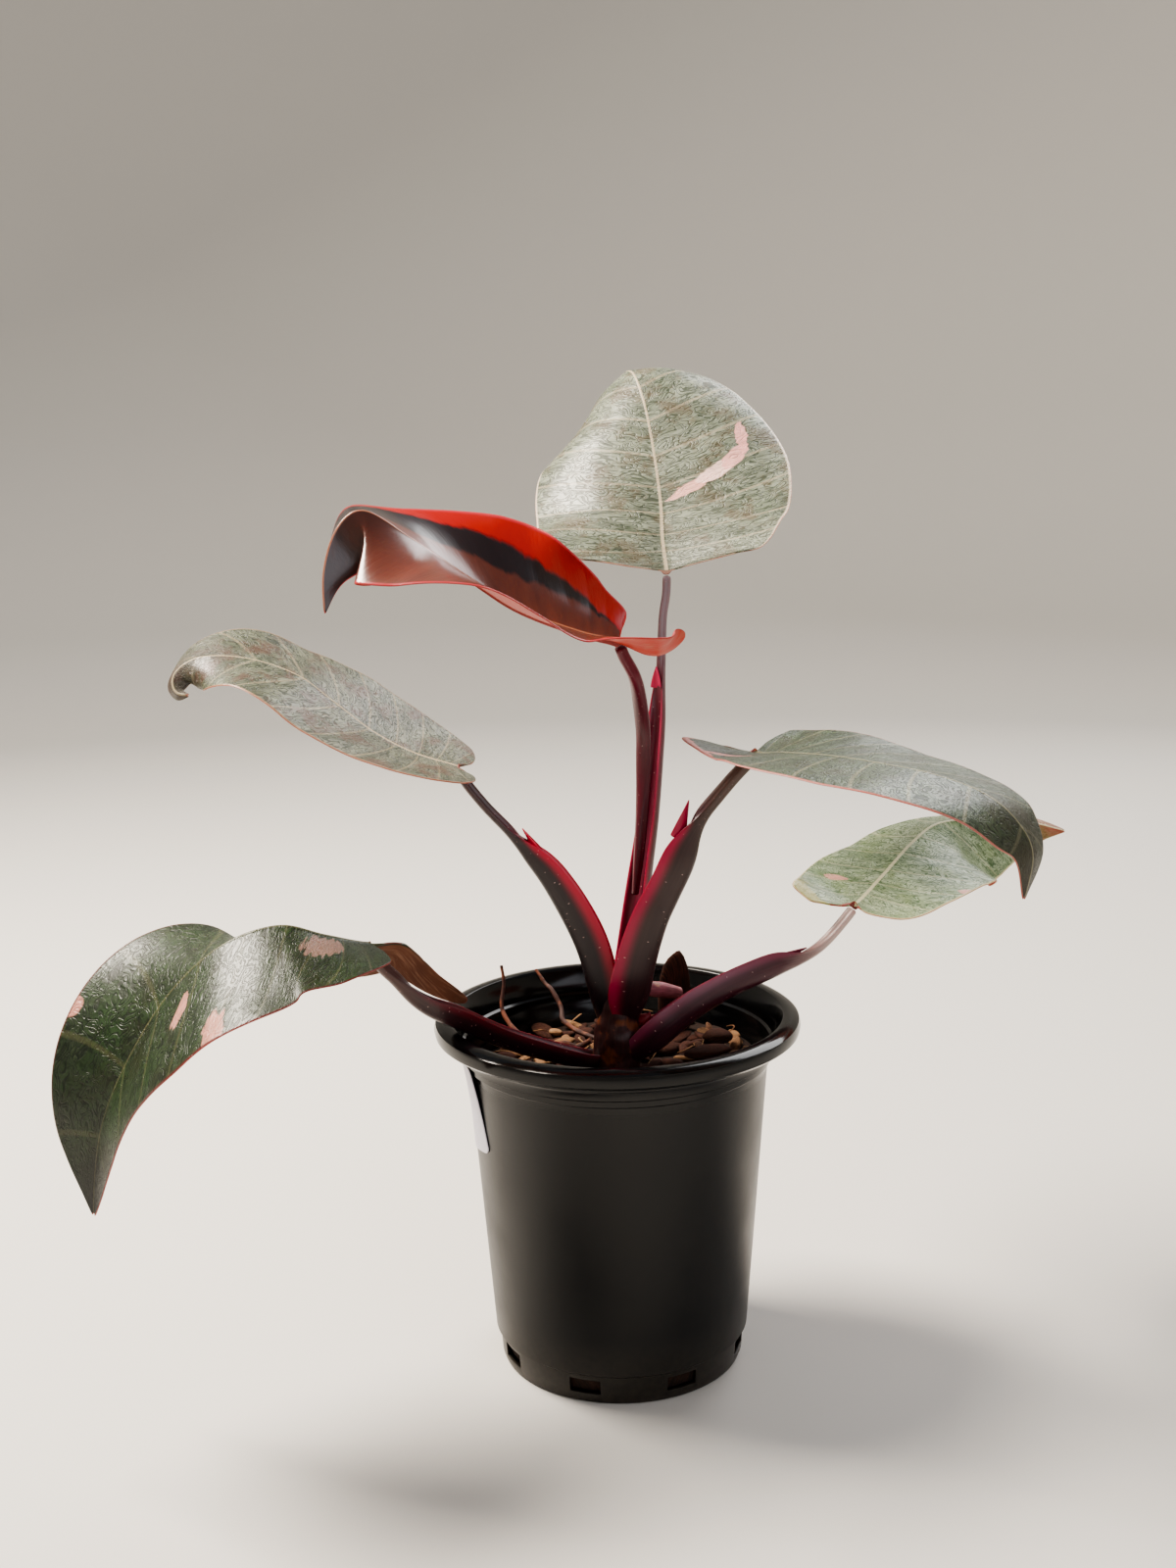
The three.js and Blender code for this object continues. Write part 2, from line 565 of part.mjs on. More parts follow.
// The blank label on the left of the pot. It is stuck on askew, lies on the wall at its
// lower end and bridges the steps under the rim at its upper end.
function labelGeometry() {
  const middle = [];
  for (let i = 0; i <= LABEL_ROWS; i += 1) {
    const up = LABEL_HEIGHT * (i / LABEL_ROWS - 0.5);
    const fromEnd = LABEL_HEIGHT / 2 - Math.abs(up);
    const inset = LABEL_CORNER - Math.sqrt(LABEL_CORNER ** 2 - Math.max(LABEL_CORNER - fromEnd, 0) ** 2);
    const row = [];
    for (let j = 0; j <= LABEL_COLUMNS; j += 1) {
      const across = (LABEL_WIDTH - 2 * inset * LABEL_END_INSET) * (j / LABEL_COLUMNS - 0.5);
      const height = LABEL_MIDDLE[1] + up * Math.cos(LABEL_SKEW) + across * Math.sin(LABEL_SKEW);
      const around = across * Math.cos(LABEL_SKEW) - up * Math.sin(LABEL_SKEW);
      const lift = Math.max((height - LABEL_FREE) / (WALL_TOP - LABEL_FREE), 0) ** 2 * LABEL_LIFT;
      const radius = WALL_FOOT_RADIUS + WALL_SLOPE * height + LABEL_CLEARANCE + lift;
      const angle = LABEL_MIDDLE[0] + around / radius;
      row.push(new Vector3(-radius * Math.cos(angle), -radius * Math.sin(angle), height));
    }
    middle.push(row);
  }
  const thin = middle.map((row) => row.map(() => LABEL_THICKNESS / 2));
  return sheet(middle, thin, thin);
}

const plant = new THREE.Group();

function add(name, geometry, color, roughness) {
  const mesh = new THREE.Mesh(geometry, new THREE.MeshStandardMaterial({ color, roughness, metalness: 0 }));
  mesh.name = name;
  plant.add(mesh);
}

// The stem with its stub and bud, grown by a gap where it is to cut its neighbours.
function stemBody(grow) {
  const bud = new THREE.SphereGeometry(BUD.radius + grow, ...BUD_SIDES).translate(...BUD.place);
  return join([
    solid(roundGeometry(STEM_LINE, STEM_RADII, STEM_STEPS, grow)),
    solid(roundGeometry(STUB.line, [STUB.radius, STUB.radius], STUB_STEPS, grow)),
    solid(bud),
  ]);
}

function rootGeometry({ line, radius }, grow = 0) {
  const outline = new THREE.Shape().absarc(0, 0, radius + grow, 0, 2 * Math.PI);
  const curve = new THREE.CatmullRomCurve3(line.map((p) => new Vector3(...p)));
  return new THREE.ExtrudeGeometry(outline, {
    steps: ROOT_STEPS, curveSegments: 2, bevelEnabled: false, extrudePath: curve,
  });
}

// The bodies that cut their neighbours are grown by the gap that they keep.
const grownStem = stemBody(GAP);
const grown = Object.fromEntries(Object.entries(PETIOLES).map(([key, petiole]) => [
  key, join([solid(petioleGeometry(petiole)), solid(petioleGeometry(petiole, GAP))]),
]));
const CUT_BY = { a: ['b', 'c', 'e'], b: [], c: ['e'], d: [], e: [], f: ['d'] };
const PETIOLE_COLORS = { a: 0x6e1a35, b: 0x7a1838, c: 0x8a1d30, d: 0x4a1a24, e: 0x6d1b38, f: 0x7c2338 };

add('pot', geometryOf(cut(
  solid(potGeometry()),
  Array.from({ length: SLOT_COUNT }, (_, number) => drainSlot(number)),
)), 0x141416, 0.38);
add('potting_mix', geometryOf(cut(mixBody(), [
  grownStem, grown.d, grown.f, ...ROOTS.map((root) => solid(rootGeometry(root, GAP))),
])), 0x6e4a30, 0.95);
add('label', labelGeometry(), 0xe4e2ea, 0.5);
add('stem', geometryOf(stemBody(0)), 0x6a2530, 0.45);
ROOTS.forEach((root, i) => add(`aerial_root_${i + 1}`, rootGeometry(root), 0x8a4a38, 0.6));

for (const [key, leaf] of Object.entries(LEAVES)) {
  const blade = bladeGeometry(leaf);
  const neighbours = [grownStem, solid(blade), solid(bladeGeometry(leaf, GAP))];
  neighbours.push(...CUT_BY[key].map((other) => grown[other]));
  add(`petiole_${key}`, geometryOf(cut(solid(petioleGeometry(PETIOLES[key])), neighbours)),
    PETIOLE_COLORS[key], 0.4);
  add(`leaf_${key}`, blade, key === 'b' ? 0x8a3a2a : 0x3f5a3c, 0.42);
}

export default plant;
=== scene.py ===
"""The looks of a potted Thai pink sunrise philodendron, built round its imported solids.

Sizes in the classes are millimetres, as a grower would measure the plant, and MM turns them into
Blender's metres. +Z is up, and the origin is the middle of the pot's flat base.
"""
import logging
import math
import random
from dataclasses import dataclass, field
from enum import Enum

import bpy
import numpy as np
from mathutils import Matrix, Vector, noise


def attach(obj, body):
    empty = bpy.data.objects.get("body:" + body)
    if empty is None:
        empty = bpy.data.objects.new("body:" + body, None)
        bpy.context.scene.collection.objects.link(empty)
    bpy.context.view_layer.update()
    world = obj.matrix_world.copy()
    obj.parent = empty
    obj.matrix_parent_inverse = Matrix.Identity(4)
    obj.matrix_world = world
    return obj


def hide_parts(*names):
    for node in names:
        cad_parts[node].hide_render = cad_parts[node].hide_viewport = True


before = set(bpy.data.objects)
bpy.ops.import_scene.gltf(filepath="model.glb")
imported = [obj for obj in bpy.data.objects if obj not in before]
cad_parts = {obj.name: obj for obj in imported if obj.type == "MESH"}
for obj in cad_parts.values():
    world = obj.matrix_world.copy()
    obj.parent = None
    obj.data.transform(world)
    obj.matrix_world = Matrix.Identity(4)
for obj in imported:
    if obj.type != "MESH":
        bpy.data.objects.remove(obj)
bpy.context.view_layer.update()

MM = 0.001
BODY = "root"
FLAT_UNIT = 100.0
VEIN_CROWDING = 0.85

Point = tuple[float, float, float]
Arrays = tuple[np.ndarray, ...]
Numbers = list[float]
Colour = tuple[float, float, float, float]
Colour3 = tuple[float, float, float]

log = logging.getLogger("philodendron")


class Side(Enum):
    """The half of a blade, seen from above with the tip ahead."""

    LEFT = -1
    RIGHT = 1


class Skin(Enum):
    """The faces of a blade, in the order of its material slots."""

    UPPER = 0
    UNDER = 1
    MARGIN = 2


def linear(colour: str) -> Colour:
    """Turns an sRGB hex colour into Blender's linear one.

    Args:
        colour: six hex digits, such as "3a5f2b".

    Returns:
        Red, green, blue and an alpha of 1.
    """
    values = [int(colour[i:i + 2], 16) / 255 for i in (0, 2, 4)]
    r, g, b = (v / 12.92 if v <= 0.04045 else ((v + 0.055) / 1.055) ** 2.4 for v in values)
    return r, g, b, 1.0


def flesh(weight: float, radius: Colour3, depth: float) -> dict:
    """Says how light wanders under a plant's skin.

    Args:
        weight: how much of the light goes under it.
        radius: how far red, green and blue go beside one another.
        depth: how far that is, in millimetres.

    Returns:
        Values of the surface shader's sockets.
    """
    return {"Subsurface Weight": weight, "Subsurface Radius": radius, "Subsurface Scale": depth * MM}


def smooth(values: np.ndarray, t: np.ndarray, straight_ends: bool = False) -> np.ndarray:
    """Reads a smooth curve through equally spaced values.

    Args:
        values: the values, or rows of them, that the curve goes through.
        t: where to read it, from 0 at the first value to 1 at the last.
        straight_ends: whether the curve leaves its ends straight, and not level.

    Returns:
        The values at t.
    """
    values = np.asarray(values, float)
    x = np.clip(t, 0, 1) * (len(values) - 1)
    i = np.minimum(x.astype(int), len(values) - 2)
    f = (x - i).reshape((-1,) + (1,) * (values.ndim - 1))
    first, last = (2 * values[0] - values[1], 2 * values[-1] - values[-2]) if straight_ends else (
        values[0], values[-1])
    padded = np.concatenate([first[None], values, last[None]])
    p0, p1, p2, p3 = (padded[i + k] for k in range(4))
    return p1 + 0.5 * f * (p2 - p0 + f * (2 * p0 - 5 * p1 + 4 * p2 - p3 + f * (3 * (p1 - p2) + p3 - p0)))


def unit(vectors: np.ndarray) -> np.ndarray:
    """Gives the vectors a length of 1."""
    return vectors / np.linalg.norm(vectors, axis=-1, keepdims=True)


def step(x: np.ndarray, low: float, high: float) -> np.ndarray:
    """Rises smoothly from 0 at low to 1 at high."""
    t = np.clip((x - low) / (high - low), 0, 1)
    return t * t * (3 - 2 * t)


def wander(points: np.ndarray, cloud: float) -> np.ndarray:
    """Reads a smooth noise, about as wide as a cloud in millimetres, at rows of points."""
    values = [noise.noise(Vector(p) / cloud) for p in points.reshape(-1, 3)]
    return np.array(values).reshape(points.shape[:-1])


@dataclass
class Line:
    """A smooth line in space with a frame at every distance along it.

    The face is carried along the line without turning about it, and then rolled.
    """

    points: list[Point]
    face: Point
    roll: Numbers = field(default_factory=lambda: [0.0, 0.0])
    behind_point: int = 0
    samples: int = 400
    steps: int = 160

    def __post_init__(self) -> None:
        """Works out the line's length, points, tangents and faces."""
        points = np.array(self.points, float)
        at = np.linspace(0, 1, self.samples + 1)
        track = smooth(points, at, True)
        lengths = np.concatenate([[0], np.cumsum(np.linalg.norm(np.diff(track, axis=0), axis=1))])
        self.behind = lengths[round(self.behind_point / (len(points) - 1) * self.samples)]
        self.length = lengths[-1]
        even = np.interp(np.linspace(0, self.length, self.steps + 1), lengths, at)
        self.track = smooth(points, even, True)
        nudge = 1e-4
        self.tangents = unit(smooth(points, even + nudge, True) - smooth(points, even - nudge, True))
        carried = np.array(self.face, float)
        faces = []
        for tangent in self.tangents:
            carried = unit(carried - carried.dot(tangent) * tangent)
            faces.append(carried)
        self.faces = np.array(faces)

    def frames(self, distance: np.ndarray) -> Arrays:
        """Gives the line's frames.

        Args:
            distance: distances along the line from where it starts to count.

        Returns:
            The points, tangents, faces and sides there, and the share of the line.
        """
        t = np.clip((self.behind + distance) / self.length, 0, 1)
        i = np.minimum((t * self.steps).astype(int), self.steps - 1)
        f = (t * self.steps - i)[:, None]
        tangent = unit(self.tangents[i] * (1 - f) + self.tangents[i + 1] * f)
        face = self.faces[i] * (1 - f) + self.faces[i + 1] * f
        face = unit(face - np.sum(face * tangent, axis=1, keepdims=True) * tangent)
        angle = np.radians(smooth(self.roll, t))[:, None]
        face = face * np.cos(angle) + np.cross(tangent, face) * np.sin(angle)
        point = self.track[i] * (1 - f) + self.track[i + 1] * f
        return point, tangent, face, np.cross(tangent, face), t


def sheet_object(name: str, points: np.ndarray, maps: dict[str, np.ndarray]) -> bpy.types.Object:
    """Shapes a grid primitive to rows and columns of points.

    Args:
        name: the piece's name.
        points: rows by columns by 3, in millimetres.
        maps: for each UV map's name, rows by columns by 2.

    Returns:
        The sheet, one face thick, with its normals on the right of its rows.
    """
    rows, columns = points.shape[:2]
    bpy.ops.object.select_all(action="DESELECT")
    bpy.ops.mesh.primitive_grid_add(x_subdivisions=columns - 1, y_subdivisions=rows - 1, size=2)
    made = bpy.context.object
    made.name = made.data.name = name
    mesh = made.data
    mesh.vertices.foreach_set("co", (points.reshape(-1, 3) * MM).ravel())
    corners = np.empty(len(mesh.loops), int)
    mesh.loops.foreach_get("vertex_index", corners)
    while mesh.uv_layers:
        mesh.uv_layers.remove(mesh.uv_layers[0])
    for label, values in maps.items():
        layer = mesh.uv_layers.new(name=label)
        layer.data.foreach_set("uv", values.reshape(-1, 2)[corners].astype(np.float32).ravel())
    mesh.update()
    return made


def pick_out(*pieces: bpy.types.Object) -> None:
    """Selects pieces and nothing else, and makes the first one active.

    Args:
        pieces: the pieces.
    """
    bpy.ops.object.select_all(action="DESELECT")
    for piece in pieces:
        piece.select_set(True)
    bpy.context.view_layer.objects.active = pieces[0]


def modify(piece: bpy.types.Object, kind: str, **settings: object) -> None:
    """Adds a modifier to a piece and applies it.

    Args:
        piece: the piece.
        kind: the modifier's type.
        settings: the modifier's properties.
    """
    pick_out(piece)
    modifier = piece.modifiers.new(kind.lower(), kind)
    for name, value in settings.items():
        setattr(modifier, name, value)
    bpy.ops.object.modifier_apply(modifier=modifier.name)


def subdivide(piece: bpy.types.Object, levels: int = 1) -> None:
    """Rounds a piece with an applied subdivision surface.

    Args:
        piece: the piece.
        levels: how many times each face is split.
    """
    modify(piece, "SUBSURF", levels=levels, render_levels=levels)


def smooth_shading(piece: bpy.types.Object, degrees: float = 40.0) -> None:
    """Shades a piece smooth, except at edges sharper than an angle.

    Args:
        piece: the piece.
        degrees: the sharpest angle that stays smooth.
    """
    pick_out(piece)
    bpy.ops.object.shade_smooth_by_angle(angle=math.radians(degrees))


def close_tube(piece: bpy.types.Object) -> None:
    """Joins a rolled-up sheet along its seam, fills its ends and turns its faces outward.

    Args:
        piece: the sheet, whose first and last columns lie in one place.
    """
    pick_out(piece)
    bpy.ops.object.mode_set(mode="EDIT")
    bpy.ops.mesh.select_all(action="SELECT")
    bpy.ops.mesh.remove_doubles(threshold=1e-6)
    bpy.ops.mesh.fill_holes(sides=0)
    bpy.ops.mesh.select_all(action="SELECT")
    bpy.ops.mesh.normals_make_consistent(inside=False)
    bpy.ops.object.mode_set(mode="OBJECT")


def place(piece: bpy.types.Object, slot: str, *nodes: str) -> bpy.types.Object:
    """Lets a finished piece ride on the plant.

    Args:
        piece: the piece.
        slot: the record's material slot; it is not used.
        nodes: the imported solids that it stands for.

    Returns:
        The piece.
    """
    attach(piece, BODY)
    if nodes:
        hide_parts(*nodes)
    log.info("%s: %d faces", piece.name, len(piece.data.polygons))
    return piece


@dataclass(frozen=True)
class Layer:
    """A colour laid over the ones before it, from where a pattern is low to where it is high."""

    pattern: bpy.types.NodeSocket
    low: float
    high: float
    colour: str
    most: float = 1.0
    least: float = 0.0
    soft: bool = False


class Paint:
    """A material while it is put together, node by node."""

    def __init__(self, name: str) -> None:
        """Starts with an empty node tree.

        Args:
            name: what the real material is called.
        """
        self.material = bpy.data.materials.new(name)
        self.material.use_nodes = True
        self.tree = self.material.node_tree
        self.tree.nodes.clear()

    def put(self, kind: str, inputs: dict | None = None, out: int | str = 0,
            **settings: object) -> bpy.types.NodeSocket | None:
        """Adds a shader node with its settings and links.

        Args:
            kind: the node's type, without the words ShaderNode.
            inputs: for a socket's name or number, its value or the socket that feeds it.
            out: the name or number of the output that is wanted.
            settings: the node's own properties.

        Returns:
            That output, where the node has any.
        """
        made = self.tree.nodes.new("ShaderNode" + kind)
        for name, value in settings.items():
            setattr(made, name, value)
        for name, value in (inputs or {}).items():
            if isinstance(value, bpy.types.NodeSocket):
                self.tree.links.new(value, made.inputs[name])
            else:
                made.inputs[name].default_value = value
        return made.outputs[out] if made.outputs else None

    def layered(self, ground: Colour | bpy.types.NodeSocket, layers: list[Layer]) -> bpy.types.NodeSocket:
        """Lays colours over a ground, one after another.

        Args:
            ground: the colour under them.
            layers: the colours, the lowest first.

        Returns:
            The colour that is seen.
        """
        for layer in layers:
            share = self.put("MapRange", {0: layer.pattern, 1: layer.low, 2: layer.high, 3: layer.least,
                                          4: layer.most},
                             interpolation_type="SMOOTHSTEP" if layer.soft else "LINEAR")
            ground = self.put("Mix", {0: share, 6: ground, 7: linear(layer.colour)}, 2, data_type="RGBA")
        return ground

    def pattern(self, where: bpy.types.NodeSocket, detail: float, scale: float = 1.0,
                stretch: tuple[float, float] | None = None, **more: float) -> bpy.types.NodeSocket:
        """Draws an uneven natural pattern.

        Args:
            where: the places on the surface.
            detail: how many finer patterns are laid over the first.
            scale: how many of its clouds there are in a unit of the places.
            stretch: how many more of them there are each way across a map.
            more: other sockets of the noise.

        Returns:
            The pattern, from 0 to 1.
        """
        if stretch:
            where = self.put("VectorMath", {0: where, 1: (*stretch, 0)}, operation="MULTIPLY")
        return self.put("TexNoise", {"Vector": where, "Scale": scale, "Detail": detail,
                                     **{name.capitalize(): value for name, value in more.items()}})

    def finish(self, inputs: dict,
               relief: tuple[bpy.types.NodeSocket, float, float] | None = None) -> bpy.types.Material:
        """Ends the tree with its surface shader and the output.

        Args:
            inputs: values and links of the surface shader's sockets.
            relief: the pattern pressed into the surface, how strongly, and how deep in millimetres.

        Returns:
            The material.
        """
        if relief:
            height, strength, depth = relief
            inputs["Normal"] = self.put("Bump", {"Strength": strength, "Distance": depth * MM,
                                                 "Height": height})
        self.put("OutputMaterial", {"Surface": self.put("BsdfPrincipled", inputs)})
        return self.material


@dataclass(frozen=True)
class Blotch:
    """A patch of a blade without green in it, where the pink shows.

    Its place and reach are shares of the way from the midrib to the margin, negative on the left
    half, and of the way from the first vein to the last.
    """

    across: float
    vein: float
    reach: float
    veins: float
    lean: float = 0.0
    colour: str = "f0b3a6"
    clear: float = 1.0


@dataclass(frozen=True)
class Cuticle:
    """The skin of a grown philodendron leaf: a satin wax over fine veins that run to the margin.

    The broad silvery sheen is partly the wax's own grey-green and partly a painted highlight of light on the
    wax, and the fine veins break it into streaks.
    """

    key: str
    green: str
    # pale and the float two lines down give the silvery sheen's colour and share: partly the leaf's own
    # grey-green, partly a painted highlight.
    pale: str
    dark: str
    painted_sheen: float
    rib: str = "d9cab0"
    margin: str = "c79a86"
    tip: str = "5a4038"
    tip_from: float = 0.75
    mottle: str = "8a7058"
    mottle_share: float = 0.3
    under: str = "7a4c38"
    under_dark: str = "4a2a22"
    roughness: float = 0.36
    rib_share: float = 0.85
    side_vein_share: float = 0.35
    laterals: int = 11
    blotches: tuple[Blotch, ...] = ()

    def coordinates(self, paint: Paint) -> dict[str, bpy.types.NodeSocket]:
        """Reads the blade's own maps.

        Args:
            paint: the material in the making.

        Returns:
            The vein map, its distance from the midrib and share of the length, and the flat map in
            millimetres with its distance from the midrib.
        """
        vein = paint.put("UVMap", uv_map="vein")
        flat = paint.put("VectorMath", {0: paint.put("UVMap", uv_map="flat"), 1: (FLAT_UNIT, FLAT_UNIT, 0)},
                   operation="MULTIPLY")
        across, along, _ = paint.put("SeparateXYZ", {0: vein}).node.outputs
        out = paint.put("SeparateXYZ", {0: flat})
        return {"vein": vein, "signed": across, "along": along, "flat": flat,
                "share": paint.put("Math", {0: across}, operation="ABSOLUTE"),
                "out": paint.put("Math", {0: out}, operation="ABSOLUTE")}

    def streaks(self, paint: Paint, vein: bpy.types.NodeSocket, lines: float,
                breaks: float, seed: float, detail: float = 3.0) -> bpy.types.NodeSocket:
        """Draws fine lines that run with the veins from the midrib to the margin.

        Args:
            paint: the material in the making.
            vein: the vein map.
            lines: how many lines there are along the blade.
            breaks: how many times a line breaks on its way to the margin.
            seed: where the pattern starts.
            detail: how many finer patterns are laid over the first.

        Returns:
            The pattern, from 0 to 1.
        """
        moved = paint.put("VectorMath", {0: vein, 1: (breaks, lines, 0), 2: (seed, seed, seed)},
                    operation="MULTIPLY_ADD")
        return paint.pattern(moved, detail, roughness=0.55, distortion=0.9)

    def engraved(self, paint: Paint, vein: bpy.types.NodeSocket) -> bpy.types.NodeSocket:
        """Draws the wandering lines, as if engraved, that the small veins press into the wax.

        Args:
            paint: the material in the making.
            vein: the vein map.

        Returns:
            The lines, from 0 between them to 1 on them.
        """
        phase = paint.put("Math", {0: self.streaks(paint, vein, 30, 4.5, 1.7, 1.5), 1: 62.0},
                    operation="MULTIPLY")
        ripple = paint.put("Math", {0: phase}, operation="SINE")
        return paint.put("MapRange", {0: ripple, 1: 0.1, 2: 0.95}, interpolation_type="SMOOTHSTEP")

    def lateral_veins(self, paint: Paint, along: bpy.types.NodeSocket) -> bpy.types.NodeSocket:
        """Draws the main side veins as thin lines.

        Args:
            paint: the material in the making.
            along: the share of the way from the first vein to the last.

        Returns:
            The veins, from 0 between them to 1 on them.
        """
        crowded = paint.put("Math", {0: along, 1: VEIN_CROWDING}, operation="POWER")
        phase = paint.put("Math", {0: crowded, 1: 2 * math.pi * self.laterals}, operation="MULTIPLY")
        ripple = paint.put("Math", {0: phase}, operation="COSINE")
        return paint.put("MapRange", {0: ripple, 1: 0.955, 2: 1.0}, interpolation_type="SMOOTHSTEP")

    def from_rib(self, paint: Paint, at: dict[str, bpy.types.NodeSocket], widest: float,
                 narrowest: float) -> bpy.types.NodeSocket:
        """Works out how far a place is from the midrib, over the rib's own half width.

        Args:
            paint: the material in the making.
            at: the blade's maps.
            widest: the rib's half width at its foot, in millimetres.
            narrowest: its half width at the tip.

        Returns:
            The distance.
        """
        width = paint.put("MapRange", {0: at["along"], 3: widest, 4: narrowest})
        return paint.put("Math", {0: at["out"], 1: width}, operation="DIVIDE")

    def blotched(self, paint: Paint, colour: bpy.types.NodeSocket,
                 vein: bpy.types.NodeSocket) -> bpy.types.NodeSocket:
        """Paints the pink patches over a colour, their edges ragged along the veins.

        Args:
            paint: the material in the making.
            colour: the colour under them.
            vein: the vein map.

        Returns:
            The colour with the patches on it.
        """
        ragged = self.streaks(paint, vein, 42, 3.5, 4.4)
        grain = self.streaks(paint, vein, 150, 12, 9.1)
        speckled = paint.put("MapRange", {0: grain, 1: 0.35, 2: 0.62, 3: 1.0, 4: 0.72})
        for blotch in self.blotches:
            middle = (blotch.across, blotch.vein, 0)
            apart = paint.put("VectorMath", {0: vein, 1: middle}, operation="SUBTRACT")
            across, along, _ = paint.put("SeparateXYZ", {0: apart}).node.outputs
            leant = paint.put("Math", {0: across, 1: -blotch.lean, 2: along}, operation="MULTIPLY_ADD")
            reach = (2 / blotch.reach, 2 / blotch.veins, 0)
            scaled = paint.put("VectorMath", {0: paint.put("CombineXYZ", {0: across, 1: leant}), 1: reach},
                               operation="MULTIPLY")
            away = paint.put("VectorMath", {0: scaled}, 1, operation="LENGTH")
            wavy = paint.put("Math", {0: ragged, 1: 1.6, 2: away}, operation="MULTIPLY_ADD")
            inside = paint.put("MapRange", {0: wavy, 1: 1.86, 2: 1.68, 3: 0.0, 4: blotch.clear},
                         interpolation_type="SMOOTHSTEP")
            share = paint.put("Math", {0: inside, 1: speckled}, operation="MULTIPLY")
            colour = paint.layered(colour, [Layer(share, 0, 1, blotch.colour)])
        return colour

    def upper(self) -> bpy.types.Material:
        """Makes the upper skin: green with a silvery sheen, partly its own and partly a painted highlight, a
        cream midrib and pink patches.

        Returns:
            The material.
        """
        paint = Paint(f"waxy leaf cuticle {self.key}")
        at = self.coordinates(paint)
        fine = self.streaks(paint, at["vein"], 150, 9, 3.1)
        broad = self.streaks(paint, at["vein"], 20, 1.6, 8.7)
        lines = self.engraved(paint, at["vein"])
        end = paint.put("Math", {0: broad, 1: 0.25, 2: at["along"]}, operation="MULTIPLY_ADD")
        colour = paint.layered(linear(self.dark), [
            Layer(paint.pattern(at["flat"], 4.0, 0.05), 0.35, 0.65, self.green),
            # Painted highlight: the broad silvery sheen of light on the wax, laid on in the pale colour over
            # the leaf's own green.
            Layer(broad, 0.36, 0.64, self.pale, self.painted_sheen, self.painted_sheen * 0.5, soft=True),
            Layer(lines, 0, 1, self.dark, 0.7),
            Layer(fine, 0.48, 0.64, self.dark, 0.55, soft=True),
            Layer(self.lateral_veins(paint, at["along"]), 0, 1, self.rib, self.side_vein_share),
            Layer(paint.pattern(at["flat"], 5.0, 0.06, roughness=0.65), 0.48, 0.62, self.mottle,
                  self.mottle_share, soft=True),
            Layer(end, self.tip_from + 0.1, 1.14, self.tip, 0.9),
        ])
        colour = paint.layered(self.blotched(paint, colour, at["vein"]), [
            Layer(at["share"], 0.97, 0.985, self.margin),
            Layer(self.from_rib(paint, at, 1.1, 0.3), 1.3, 0.7, self.rib, self.rib_share, soft=True),
        ])
        gloss = paint.put("MapRange", {0: lines, 3: self.roughness, 4: self.roughness + 0.14})
        height = paint.put("Math", {0: lines, 1: -0.8, 2: fine}, operation="MULTIPLY_ADD")
        return paint.finish({
            "Base Color": colour, "Roughness": gloss, "IOR": 1.45, "Coat Weight": 0.15,
            "Coat Roughness": 0.25, "Specular IOR Level": 0.4, **flesh(0.1, (0.8, 1.0, 0.3), 1.0)},
            (height, 0.5, 0.4))

    def lower(self) -> bpy.types.Material:
        """Makes the underside: matt copper brown with paler veins.

        Returns:
            The material.
        """
        paint = Paint(f"matt leaf underside {self.key}")
        at = self.coordinates(paint)
        fine = self.streaks(paint, at["vein"], 120, 5, 5.5)
        colour = paint.layered(linear(self.under_dark), [
            Layer(paint.pattern(at["flat"], 4.0, 0.05), 0, 1, self.under),
            Layer(fine, 0.5, 0.66, "b08468", 0.35),
            Layer(self.from_rib(paint, at, 2.4, 0.4), 1.2, 0.7, "7b3a3c", 0.7),
        ])
        return paint.finish({"Base Color": colour, "Roughness": 0.52, "IOR": 1.42,
                             **flesh(0.15, (1.0, 0.5, 0.3), 1.5)}, (fine, 0.3, 0.3))

    def edge(self) -> bpy.types.Material:
        """Makes the margin's thin clear rim.

        Returns:
            The material.
        """
        paint = Paint(f"clear leaf margin {self.key}")
        speck = paint.pattern(self.coordinates(paint)["vein"], 3.0, 40.0)
        colour = paint.layered(linear(self.margin), [Layer(speck, 0, 1, "a8504a")])
        return paint.finish({"Base Color": colour, "Roughness": 0.45, "IOR": 1.45,
                             **flesh(0.2, (1.0, 0.5, 0.3), 1.5)})


